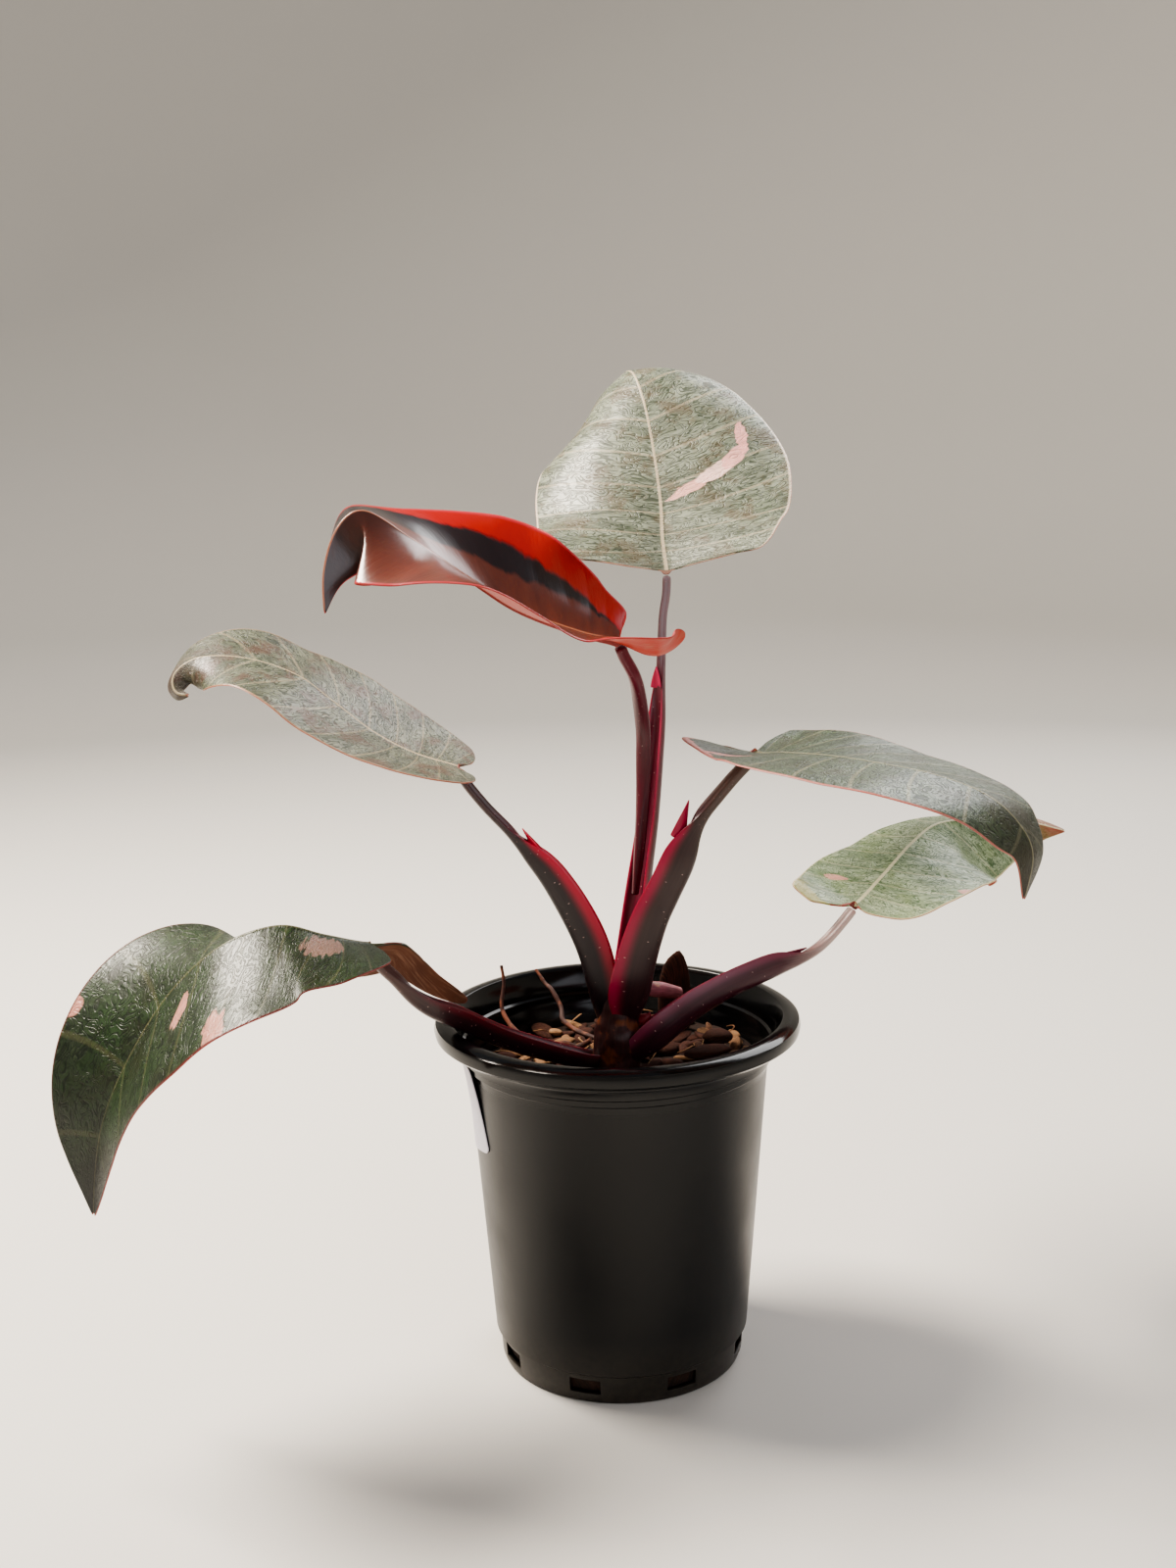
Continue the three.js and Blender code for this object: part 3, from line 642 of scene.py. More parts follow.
@dataclass(frozen=True)
class NewCuticle(Cuticle):
    """The skin of the leaf that opened last: glossy copper, with painted shade deepening its maroon and
    painted light glowing red through its margin.
    """

    copper: str = "763a26"
    # maroon is the leaf's own burgundy deepened by painted shade; red is the leaf's red brightened by
    # painted light shining through the blade.
    maroon: str = "1c0a0c"
    red: str = "a81406"
    shade_from: float = 0.4
    glow_from: float = 0.31
    glow_rise: float = 0.8

    def upper(self) -> bpy.types.Material:
        """Makes the upper skin: copper, a maroon field of painted shade on the half that stands up, and past
        it a red band of painted light shining through.

        Returns:
            The material.
        """
        paint = Paint(f"glossy new leaf cuticle {self.key}")
        at = self.coordinates(paint)
        fine = self.streaks(paint, at["vein"], 120, 4, 3.1)
        broad = self.streaks(paint, at["vein"], 22, 1.6, 6.3)
        ragged = paint.put("Math", {0: broad, 1: 0.16, 2: at["signed"]}, operation="MULTIPLY_ADD")
        glow_band = paint.put("Math", {0: at["along"], 1: -self.glow_rise, 2: ragged}, operation="MULTIPLY_ADD")
        end = paint.put("Math", {0: broad, 1: 0.2, 2: at["along"]}, operation="MULTIPLY_ADD")
        colour = paint.layered(linear("4c2218"), [
            Layer(broad, 0, 1, self.copper),
            Layer(self.engraved(paint, at["vein"]), 0, 1, "5a2a22", 0.3),
            # Painted shade: the maroon field where the standing half faces away from the light.
            Layer(ragged, self.shade_from + 0.04, self.shade_from + 0.11, self.maroon, soft=True),
            # Painted light: the red band near the margin, where light shines through the blade.
            Layer(glow_band, self.glow_from + 0.06, self.glow_from + 0.14, self.red, soft=True),
        ])
        colour = paint.layered(self.blotched(paint, colour, at["vein"]), [
            Layer(end, self.tip_from, self.tip_from + 0.2, self.tip, 0.9),
            Layer(at["share"], 0.95, 0.98, "b5303a"),
            Layer(self.from_rib(paint, at, 1.1, 0.3), 1.2, 0.7, "c98a6c", 0.6),
        ])
        return paint.finish({
            "Base Color": colour, "Roughness": 0.3, "IOR": 1.45, "Coat Weight": 0.5, "Coat Roughness": 0.18,
            **flesh(0.25, (1.0, 0.25, 0.1), 2.0)}, (fine, 0.3, 0.4))


@dataclass(frozen=True)
class PetioleSkin:
    """The skin of a petiole: smooth, thin-walled and maroon, with clear red sheath margins."""

    key: str
    low: str
    mid: str
    high: str
    inner: str
    red: str = "a81c34"
    channel_from: float = 0.64

    def material(self) -> bpy.types.Material:
        """Makes the skin, darker at the foot, with long fine ribs, pale specks and red margins.

        Returns:
            The material.
        """
        paint = Paint(f"waxy petiole skin {self.key}")
        skin = paint.put("UVMap", uv_map="skin")
        around, up, _ = paint.put("SeparateXYZ", {0: skin}).node.outputs
        margin = paint.put("SeparateXYZ", {0: paint.put("UVMap", uv_map="sheath")})
        lines = paint.pattern(skin, 3.0, stretch=(60, 4))
        height = paint.put("Math", {0: paint.pattern(skin, 3.0, 5.0), 1: 0.2, 2: up},
                           operation="MULTIPLY_ADD")
        below = paint.put("MapRange", {0: height, 1: 0.72, 2: 1.0, 3: 1.0, 4: 0.0},
                          interpolation_type="SMOOTHSTEP")
        channel = paint.put("MapRange", {0: around, 1: self.channel_from, 2: self.channel_from + 0.02})
        grid = paint.put("VectorMath", {0: skin, 1: (14, 60, 0)}, operation="MULTIPLY")
        specks = paint.put("TexVoronoi", {"Vector": grid, "Scale": 1.0, "Randomness": 1.0})
        colour = paint.layered(linear(self.low), [
            Layer(height, 0.1, 0.5, self.mid, soft=True),
            Layer(height, 0.72, 1.0, self.high, soft=True),
            Layer(paint.put("Math", {0: channel, 1: below}, operation="MULTIPLY"), 0, 1, self.inner, 0.9),
            Layer(lines, 0.35, 0.7, "1c0a10", 0.35),
            Layer(margin, 0.15, 0.75, self.red, soft=True),
            Layer(specks, 0.1, 0.05, "d8b0a8", 0.75),
        ])
        return paint.finish({
            "Base Color": colour, "Roughness": 0.34, "IOR": 1.45, "Coat Weight": 0.2, "Coat Roughness": 0.25,
            **flesh(0.25, (1.0, 0.2, 0.15), 2.0)}, (lines, 0.3, 0.3))


@dataclass(frozen=True)
class Plastic:
    """Injection-moulded black polypropylene: satin on the wall, polished on the rim by the mould."""

    name: str = "moulded black polypropylene"
    black: str = "050506"
    worn: str = "0d0c0b"
    satin: float = 0.33
    polished: float = 0.13
    polished_from: float = 131.0

    def material(self) -> bpy.types.Material:
        """Makes the plastic, with faint flow clouds, scuffs and dust near the foot.

        Returns:
            The material.
        """
        paint = Paint(self.name)
        spot = paint.put("TexCoord", out="Object")
        height = paint.put("SeparateXYZ", {0: spot}, 2)
        cloud = paint.pattern(spot, 5.0, 40.0)
        scuffs = paint.pattern(spot, 3.0, 420.0)
        dusty = paint.put("MapRange", {0: height, 1: 0.03, 2: 0.0, 3: 0.0, 4: 0.16})
        colour = paint.layered(linear(self.black), [
            Layer(cloud, 0.45, 0.75, self.worn, 0.5),
            Layer(paint.put("Math", {0: dusty, 1: scuffs}, operation="MULTIPLY"), 0, 1, "8b7d6a"),
        ])
        rim = self.polished_from * MM
        shine = paint.put("MapRange", {0: height, 1: rim - 3 * MM, 2: rim, 3: self.satin, 4: self.polished})
        uneven = paint.put("MapRange", {0: cloud, 1: 0.3, 2: 0.7, 3: -0.04, 4: 0.06})
        gloss = paint.put("Math", {0: shine, 1: uneven}, operation="ADD")
        return paint.finish({"Base Color": colour, "Roughness": gloss, "IOR": 1.49,
                             "Specular IOR Level": 0.36}, (scuffs, 0.08, 0.2))


@dataclass(frozen=True)
class Paper:
    """Blank coated label paper: a matt cool white."""

    name: str = "coated label paper"
    white: str = "dcdae6"

    def material(self) -> bpy.types.Material:
        """Makes the paper, with a faint fibre cloud.

        Returns:
            The material.
        """
        paint = Paint(self.name)
        spot = paint.put("TexCoord", out="Object")
        cloud = paint.pattern(spot, 4.0, 90.0)
        colour = paint.layered(linear(self.white), [Layer(cloud, 0.5, 0.8, "bdb9c4", 0.4)])
        return paint.finish({"Base Color": colour, "Roughness": 0.55, "IOR": 1.5},
                      (paint.pattern(spot, 3.0, 900.0), 0.1, 0.1))


@dataclass(frozen=True)
class Bark:
    """Composted pine bark and coir: dry, fibrous, from dark brown to tan, with a matt broken surface."""

    name: str
    dark: str
    brown: str
    tan: str
    tan_from: float = 0.45

    def material(self) -> bpy.types.Material:
        """Makes the bark, its grain along each chip and its shade from the chip's own attribute.

        Returns:
            The material.
        """
        paint = Paint(self.name)
        grain_map = paint.put("UVMap", uv_map="grain")
        shade = paint.put("Attribute", out="Fac", attribute_name="shade")
        grain = paint.pattern(grain_map, 5.0, stretch=(4, 34), roughness=0.65)
        mixed = paint.put("Math", {0: paint.pattern(grain_map, 4.0, 9.0), 1: 0.5, 2: shade},
                    operation="MULTIPLY_ADD")
        colour = paint.layered(linear(self.dark), [
            Layer(grain, 0.35, 0.62, self.brown, soft=True),
            Layer(mixed, self.tan_from + 0.25, self.tan_from + 0.75, self.tan, soft=True),
        ])
        return paint.finish({"Base Color": colour, "Roughness": 0.88, "IOR": 1.4}, (grain, 0.8, 0.8))


@dataclass(frozen=True)
class Rind:
    """The skin of a stem or root: tough and waxy, with brown cork where it has aged."""

    name: str
    skin: str
    cork: str
    cork_from: float = 0.5
    roughness: float = 0.45

    def material(self) -> bpy.types.Material:
        """Makes the skin, with cork patches and fine wrinkles along it.

        Returns:
            The material.
        """
        paint = Paint(self.name)
        wrinkle = paint.pattern(paint.put("UVMap", uv_map="skin"), 4.0, stretch=(40, 6))
        patch = paint.pattern(paint.put("TexCoord", out="Object"), 4.0, 130.0)
        colour = paint.layered(linear(self.skin), [
            Layer(patch, self.cork_from, self.cork_from + 0.12, self.cork, soft=True),
            Layer(wrinkle, 0.65, 0.3, "150a0a", 0.5),
        ])
        return paint.finish({"Base Color": colour, "Roughness": self.roughness, "IOR": 1.45,
                             **flesh(0.1, (1.0, 0.3, 0.2), 1.0)}, (wrinkle, 0.5, 0.5))


@dataclass(frozen=True)
class Half:
    """How one half of a blade is shaped: its lobe, and its fold and curl along the midrib."""

    lobe: float
    fold: Numbers
    curl: Numbers = field(default_factory=lambda: [0.0, 0.0, 0.0])
    taper: float = 0.0
    fuller: float = 0.0


@dataclass
class Leaf:
    """A heart-shaped blade, arched along its midrib and folded at it."""

    key: str
    width: float
    spine: list[Point]
    face: Point
    roll: Numbers
    left: Half
    right: Half
    cuticle: Cuticle
    behind: int = 1
    waviness: float = 0.5
    laterals: int = 11
    slot: str = "leaf"
    thickness: float = 0.8
    rows: int = 88
    half_columns: int = 17
    rib_columns: int = 3
    rib_half_width: float = 2.1
    rib_above: float = 0.5
    rib_below: float = 1.9
    taper_end: float = 0.35
    fuller_start: float = 0.5
    swell: float = 0.3
    wave: float = 24.0
    ruffle: float = 11.0
    rib_end: float = 0.35
    vein_arch: float = 0.9

    OUTLINE = [
        [0, 0.06], [-0.5, 0.14], [-0.9, 0.27], [-1, 0.42], [-0.8, 0.58], [-0.35, 0.71], [0.04, 0.82],
        [0.14, 0.92], [0.25, 0.98], [0.38, 1], [0.52, 0.93], [0.67, 0.74], [0.82, 0.45], [0.93, 0.17],
        [1, 0.012],
    ]

    def __post_init__(self) -> None:
        """Lays out the midrib."""
        self.line = Line(self.spine, self.face, self.roll, self.behind)
        self.length = self.line.length - self.line.behind

    def outline(self, half: Half) -> np.ndarray:
        """Spaces points evenly round one half of the flat outline.

        Args:
            half: the half's shape.

        Returns:
            A row for each of the blade's rows: the place along the midrib and out from it.
        """
        shape = np.array(self.OUTLINE)
        along = shape[:, 0] * np.where(shape[:, 0] < 0, half.lobe, self.length)
        narrowed = 1 - half.taper * np.maximum(1 - np.maximum(shape[:, 0], 0) / self.taper_end, 0) ** 2
        ahead = np.maximum(shape[:, 0] - self.fuller_start, 0) / (1 - self.fuller_start)
        widened = 1 + half.fuller * np.sin(np.pi * ahead)
        knots = np.stack([along, narrowed * widened * shape[:, 1] * self.width / 2], axis=1)
        at = np.linspace(0, 1, 401)
        track = smooth(knots, at)
        lengths = np.concatenate([[0], np.cumsum(np.linalg.norm(np.diff(track, axis=0), axis=1))])
        return smooth(knots, np.interp(np.linspace(0, lengths[-1], self.rows + 1), lengths, at))

    def bend(self, side: Side, along: np.ndarray, out: np.ndarray) -> np.ndarray:
        """Bends flat places of a half to where they are in space.

        Args:
            side: which half.
            along: places along the midrib.
            out: distances from it.

        Returns:
            A point for each place.
        """
        half = self.left if side is Side.LEFT else self.right
        point, _, face, across, t = self.line.frames(along)
        start = np.radians(smooth(half.fold, t))
        rate = np.radians(smooth(half.curl, t)) / (self.width / 2)
        straight = np.abs(rate) < 1e-5
        safe = np.where(straight, 1, rate)
        turned = start + rate * out
        reach = np.where(straight, out * np.cos(start), (np.sin(turned) - np.sin(start)) / safe)
        lift = np.where(straight, out * np.sin(start), (np.cos(start) - np.cos(turned)) / safe)
        return point + across * (side.value * reach)[:, None] + face * lift[:, None]

    def half_surface(self, side: Side) -> Arrays:
        """Fans one half of the blade's middle surface from the midrib to the outline.

        Args:
            side: which half.

        Returns:
            Points, flat places, shares of the way to the margin, and how much each is rib, each with
            a row for each row of the blade and a column outward from the midrib.
        """
        edge = self.outline(self.left if side is Side.LEFT else self.right)
        u = np.linspace(0, 1, self.rows + 1)
        start = (self.length - 1) * u ** 1.8
        reach = np.hypot(edge[:, 0] - start, edge[:, 1])
        rib = np.minimum(self.rib_half_width * (1 - u) + self.rib_end, 0.8 * edge[:, 1]) / reach
        inner = np.linspace(0, 1, self.rib_columns + 1)
        outer = np.linspace(0, 1, self.half_columns + 1)[1:]
        outer = outer - 0.12 * np.sin(np.pi * 2 * outer) / (2 * np.pi)
        w = np.concatenate([rib[:, None] * inner, rib[:, None] + (1 - rib[:, None]) * outer], axis=1)
        column_u = np.repeat(u[:, None], w.shape[1], axis=1)
        arch = self.vein_arch * reach[:, None] * w * (1 - w) * column_u * (1 - column_u)
        along = start[:, None] + (edge[:, 0] - start)[:, None] * w - arch
        out = edge[:, 1][:, None] * w
        points = self.bend(side, along.ravel(), out.ravel()).reshape(*w.shape, 3)
        flat = np.stack([side.value * out, along], axis=-1)
        rib_share = np.concatenate([np.cos(inner * np.pi / 2) ** 1.5, np.zeros(self.half_columns)])
        return points, flat, w, np.repeat(rib_share[None], len(u), axis=0)

    def relief(self, w: np.ndarray, points: np.ndarray) -> np.ndarray:
        """Works out the low swells between the side veins and the blade's own waviness.

        Args:
            w: shares of the way to the margin.
            points: the middle surface.

        Returns:
            How far each point is raised, in millimetres.
        """
        u = np.linspace(0, 1, self.rows + 1)[:, None]
        veins = np.abs(np.sin(np.pi * self.laterals * u ** VEIN_CROWDING)) ** 0.6 - 0.7
        swells = self.swell * veins * np.sin(np.pi * np.clip(w, 0, 1)) ** 0.7 * np.sin(np.pi * u) ** 0.5
        uneven = wander(points, self.wave) + 0.5 * wander(points, self.ruffle) * w ** 3
        return swells + self.waviness * step(w, 0.05, 0.5) * uneven

    def build(self) -> bpy.types.Object:
        """Builds the blade and dresses it.

        Returns:
            The piece.
        """
        left = self.half_surface(Side.LEFT)
        right = self.half_surface(Side.RIGHT)
        points, flat, w, rib = (np.concatenate([a[:, :0:-1], b], axis=1) for a, b in zip(left, right))
        u = np.repeat(np.linspace(0, 1, self.rows + 1)[:, None], w.shape[1], axis=1)
        signed = w * np.where(np.arange(w.shape[1]) < left[2].shape[1] - 1, -1, 1)
        maps = {"vein": np.stack([signed, u], axis=-1), "flat": flat / FLAT_UNIT}
        blade = sheet_object(f"leaf_{self.key}_blade", points, maps)
        count = len(blade.data.vertices)
        normals = np.empty(count * 3)
        blade.data.vertex_normals.foreach_get("vector", normals)
        normals = np.tile(normals.reshape(-1, 3), (2, 1))
        middle = np.tile(points.reshape(-1, 3) * MM, (2, 1))
        raised = self.relief(w, points).ravel()
        above = raised + self.thickness / 2 + (self.rib_above * (1 - u) * rib).ravel()
        below = raised - self.thickness / 2 - ((self.rib_below * (1 - u) + 0.2) * rib).ravel()
        modify(blade, "SOLIDIFY", thickness=self.thickness * MM, offset=0, use_rim=True)
        places = np.empty(count * 6)
        blade.data.vertices.foreach_get("co", places)
        upper = np.sum((places.reshape(-1, 3) - middle) * normals, axis=1) > 0
        shift = np.where(upper, np.tile(above, 2), np.tile(below, 2))[:, None] * MM
        blade.data.vertices.foreach_set("co", (middle + normals * shift).ravel())
        self.dress(blade, upper)
        subdivide(blade)
        smooth_shading(blade, 60)
        return place(blade, self.slot, f"leaf_{self.key}")

    def dress(self, blade: bpy.types.Object, upper: np.ndarray) -> None:
        """Gives the blade its upper skin, underside and margin.

        Args:
            blade: the piece.
            upper: for each vertex, whether it is on the upper side.
        """
        for material in (self.cuticle.upper(), self.cuticle.lower(), self.cuticle.edge()):
            blade.data.materials.append(material)
        for polygon in blade.data.polygons:
            tops = sum(bool(upper[v]) for v in polygon.vertices)
            skin = Skin.UPPER if tops == 4 else Skin.UNDER if tops == 0 else Skin.MARGIN
            polygon.material_index = skin.value


@dataclass
class Petiole:
    """A leaf's stalk, with a sheath whose thin margins stand up beside a channel."""

    key: str
    path: list[Point]
    face: Point
    wide: Numbers
    deep: Numbers
    wing: Numbers
    groove: Numbers
    skin: PetioleSkin
    tip_at: float = 0.0
    tip_length: float = 15.0
    tip_height: float = 4.0
    margin: float = 0.7
    back_steps: int = 22
    channel_steps: int = 12
    rings: int = 64

    def __post_init__(self) -> None:
        """Lays out the petiole's middle line."""
        self.line = Line(self.path, self.face)

    def section(self, t: float) -> Arrays:
        """Draws the outline across the petiole.

        Args:
            t: the share of its length.

        Returns:
            The outline's points, to the side and to the face, its first one repeated at the end, and
            how near each is to a sheath margin's edge.
        """
        wide, deep, wing, groove = (
            smooth(values, np.array([t]))[0] for values in (self.wide, self.deep, self.wing, self.groove))
        wing = max(wing, 0)
        back = np.linspace(0, np.pi, self.back_steps + 1)
        channel = np.pi - np.linspace(0, np.pi, self.channel_steps + 1)[1:-1]
        back_margin = np.abs(np.cos(back)) ** 4
        channel_margin = np.abs(np.cos(channel)) ** 4
        outer = np.stack([wide * np.cos(back), wing * back_margin - deep * np.sin(back)], axis=1)
        inner = np.stack([(wide - self.margin) * np.cos(channel),
                          wing * channel_margin - groove * np.sin(channel)], axis=1)
        points = np.concatenate([outer, inner, outer[:1]])
        near = np.concatenate([back_margin, channel_margin, back_margin[:1]]) ** 3 * min(wing / 4, 1)
        return points, near

    def body(self) -> bpy.types.Object:
        """Builds the petiole itself.

        Returns:
            The piece.
        """
        shares = np.linspace(0, 1, self.rings + 1)
        point, _, face, side, _ = self.line.frames(shares * self.line.length)
        sections = [self.section(t) for t in shares]
        points = np.array([point[i] + outline[:, :1] * side[i] + outline[:, 1:] * face[i]
                           for i, (outline, _) in enumerate(sections)])
        columns = points.shape[1]
        around = np.repeat(np.linspace(0, 1, columns)[None], len(shares), axis=0)
        up = np.repeat(shares[:, None], columns, axis=1)
        near = np.array([values for _, values in sections])
        maps = {"skin": np.stack([around, up], axis=-1), "sheath": np.stack([near, up], axis=-1)}
        made = sheet_object(f"petiole_{self.key}_stalk", points, maps)
        close_tube(made)
        subdivide(made)
        smooth_shading(made, 60)
        return made

    def sheath_tip(self) -> bpy.types.Object:
        """Builds the pointed tongue that the sheath ends in, free of the petiole.

        Returns:
            The piece.
        """
        at = np.array([self.tip_at * self.line.length])
        point, tangent, face, side, t = (a[0] for a in self.line.frames(at))
        wide = float(smooth(self.wide, np.array([t]))[0])
        along = np.linspace(0, 1, 13)[:, None]
        across = np.linspace(-1, 1, 15)[None]
        span = wide * (1 - along ** 1.6) + 0.15
        height = self.tip_height * (np.abs(across) ** 2.5 * (1 - along) + along)
        x = span * across
        y = np.broadcast_to(height, x.shape)
        z = (along - 0.25) * self.tip_length + 0 * across
        points = point + x[..., None] * side + y[..., None] * face + z[..., None] * tangent
        around = np.broadcast_to(across, x.shape) / 2 + 0.5
        maps = {"skin": np.stack([around, np.full_like(x, self.tip_at)], axis=-1),
                "sheath": np.ones((*x.shape, 2))}
        made = sheet_object(f"petiole_{self.key}_sheath_tip", points, maps)
        modify(made, "SOLIDIFY", thickness=0.6 * MM, offset=0, use_rim=True)
        subdivide(made)
        smooth_shading(made, 60)
        return made

    def build(self) -> None:
        """Builds the petiole and its sheath's tip, and dresses them."""
        material = self.skin.material()
        stalk = self.body()
        stalk.data.materials.append(material)
        place(stalk, "petiole", f"petiole_{self.key}")
        if self.tip_at:
            tip = self.sheath_tip()
            tip.data.materials.append(material)
            place(tip, "petiole")


def round_body(name: str, line: Line, radii: Numbers, sides: int, rings: int,
               roughness: float = 0.0, ridges: int = 0) -> bpy.types.Object:
    """Builds a closed round body along a line.

    Args:
        name: the piece's name.
        line: its middle line.
        radii: its radius at equal steps.
        sides: how many sides it has.
        rings: how many steps it has along it.
        roughness: how far its surface is uneven, as a share of the radius.
        ridges: how many shallow rings stand out along it.

    Returns:
        The piece.
    """
    shares = np.linspace(0, 1, rings + 1)
    point, _, face, side, _ = line.frames(shares * line.length)
    angle = -2 * np.pi * np.linspace(0, 1, sides + 1)
    radius = smooth(radii, shares)[:, None] * (1 + 0.03 * np.cos(2 * np.pi * ridges * shares)[:, None])
    spots = point[:, None] + radius[..., None] * (
        np.cos(angle)[None, :, None] * side[:, None] + np.sin(angle)[None, :, None] * face[:, None])
    if roughness:
        uneven = wander(spots, 3.5)
        uneven[:, -1] = uneven[:, 0]
        spots = point[:, None] + (spots - point[:, None]) * (1 + roughness * uneven)[..., None]
    around = np.repeat(np.linspace(0, 1, sides + 1)[None], len(shares), axis=0)
    up = np.repeat(shares[:, None], sides + 1, axis=1)
    made = sheet_object(name, spots, {"skin": np.stack([around, up], axis=-1)})
    close_tube(made)
    smooth_shading(made, 50)
    return made


@dataclass
class Stem:
    """The short stem in the middle, with the stub of a cut leaf, a bud and aerial roots."""

    line: list[Point]
    radii: Numbers
    stub: list[Point]
    stub_radii: Numbers
    bud_place: Point
    bud_radius: float
    roots: list[tuple[list[Point], float]]
    face: Point = (0.1, -1.0, 0.1)

    def build(self) -> None:
        """Builds the stem and what grows from it, and dresses them."""
        rind = Rind("green maroon stem skin", "3c1a1a", "7a4226", 0.52).material()
        trunk = round_body("stem_trunk", Line(self.line, self.face), self.radii, 40, 60, 0.06, 4)
        trunk.data.materials.append(rind)
        place(trunk, "stem", "stem")
        scar = Rind("healed petiole stub skin", "a8606a", "c48a78", 0.55, 0.5).material()
        stub = round_body("stem_stub", Line(self.stub, self.face), self.stub_radii, 24, 30, 0.06, 0)
        stub.data.materials.append(scar)
        place(stub, "stem")
        self.bud(Rind("red bud scale", "8a2430", "c06050", 0.6, 0.3).material())
        root_skin = Rind("dry aerial root skin", "4a261c", "8a4e34", 0.5, 0.6).material()
        for number, (points, radius) in enumerate(self.roots, 1):
            radii = [radius, radius, radius * 0.95, radius * 0.85, radius * 0.6]
            root = round_body(f"aerial_root_{number}_cord", Line(points, self.face), radii, 14, 60, 0.16, 9)
            root.data.materials.append(root_skin)
            place(root, "aerial_root", f"aerial_root_{number}")

    def bud(self, material: bpy.types.Material) -> None:
        """Builds the sleeping bud at the stem's foot.

        Args:
            material: its skin.
        """
        x, y, z = self.bud_place
        r = self.bud_radius
        line = [(x - 0.8 * r, y + 0.4 * r, z - 0.7 * r), (x, y, z), (x + 0.7 * r, y - 0.4 * r, z + 0.8 * r),
                (x + 1.0 * r, y - 0.6 * r, z + 1.5 * r)]
        bud = round_body("stem_bud", Line(line, self.face), [0.7 * r, r, 0.75 * r, 0.1 * r], 20, 16, 0.05, 0)
        bud.data.materials.append(material)
        place(bud, "stem")


@dataclass
class Pot:
    """A thin-walled nursery pot: a tapered wall, bands under a rolled rim, a foot with drain slots."""

    outside: list[tuple[float, float]]
    inside: list[tuple[float, float]]
    sides: int = 160
    slots: int = 8
    slot_size: Point = (10.0, 13.0, 6.0)
    slot_height: float = 7.4
    slot_start: float = 0.47
    foot_radius: float = 52.0

    def build(self) -> bpy.types.Object:
        """Builds the pot ring by ring and cuts its drain slots.

        Returns:
            The piece.
        """
        profile = self.outside + self.inside
        bpy.ops.object.select_all(action="DESELECT")
        bpy.ops.mesh.primitive_circle_add(vertices=self.sides, radius=profile[0][0] * MM, fill_type="NGON",
                                          location=(0, 0, 0))
        pot = bpy.context.object
        pot.name = pot.data.name = "pot_shell"
        bpy.ops.object.mode_set(mode="EDIT")
        bpy.ops.mesh.select_all(action="SELECT")
        for (radius, height), (next_radius, next_height) in zip(profile, profile[1:]):
            bpy.ops.mesh.extrude_region_move(
                TRANSFORM_OT_translate={"value": (0, 0, (next_height - height) * MM)})
            share = next_radius / radius
            bpy.ops.transform.resize(value=(share, share, 1), center_override=(0, 0, 0))
        bpy.ops.mesh.select_all(action="SELECT")
        bpy.ops.mesh.normals_make_consistent(inside=False)
        bpy.ops.object.mode_set(mode="OBJECT")
        cutter = self.cutter()
        modify(pot, "BOOLEAN", operation="DIFFERENCE", object=cutter, solver="EXACT")
        bpy.data.objects.remove(cutter)
        modify(pot, "BEVEL", width=0.35 * MM, segments=2, limit_method="ANGLE", angle_limit=math.radians(50))
        smooth_shading(pot, 35)
        pot.data.materials.append(Plastic().material())
        return place(pot, "pot", "pot")

    def cutter(self) -> bpy.types.Object:
        """Makes the blocks that cut the drain slots.

        Returns:
            All the blocks as one object.
        """
        blocks = []
        for number in range(self.slots):
            bpy.ops.object.select_all(action="DESELECT")
            bpy.ops.mesh.primitive_cube_add(size=MM)
            block = bpy.context.object
            turn = self.slot_start + 2 * math.pi * number / self.slots
            block.data.transform(Matrix.Rotation(turn, 4, "Z") @ Matrix.Translation(
                (self.foot_radius * MM, 0, self.slot_height * MM)) @ Matrix.Diagonal((*self.slot_size, 1)))
            blocks.append(block)
        pick_out(*blocks)
        bpy.ops.object.join()
        return bpy.context.object


@dataclass
class Label:
    """The blank label on the pot's left, stuck on askew, its upper end bridging the bands."""

    width: float = 26.0
    height: float = 37.0
    thickness: float = 0.4
    corner: float = 3.0
    middle_angle: float = 0.24
    middle_height: float = 115.5
    skew: float = 0.2
    base_radius: float = 53.0
    wall_slope: float = 0.0776
    free_from: float = 105.0
    free_to: float = 137.0
    lift: float = 2.4
    gap: float = 0.6

    def build(self) -> bpy.types.Object:
        """Builds the label round the wall.

        Returns:
            The piece.
        """
        up = self.height * (np.linspace(0, 1, 49) - 0.5)[:, None]
        from_end = self.height / 2 - np.abs(up)
        inset = self.corner - np.sqrt(self.corner ** 2 - np.maximum(self.corner - from_end, 0) ** 2)
        across = (self.width - 2 * inset * 0.98) * (np.linspace(0, 1, 25) - 0.5)[None]
        height = self.middle_height + up * math.cos(self.skew) + across * math.sin(self.skew)
        around = across * math.cos(self.skew) - up * math.sin(self.skew)
        free = np.clip((height - self.free_from) / (self.free_to - self.free_from), 0, None)
        radius = self.base_radius + self.wall_slope * height + self.gap + free ** 2 * self.lift
        angle = self.middle_angle + around / radius
        points = np.stack([-radius * np.cos(angle), -radius * np.sin(angle), height], axis=-1)
        label = sheet_object("label_sticker", points, {})
        modify(label, "SOLIDIFY", thickness=self.thickness * MM, offset=0, use_rim=True)
        smooth_shading(label, 50)
        label.data.materials.append(Paper().material())
        return place(label, "label", "label")


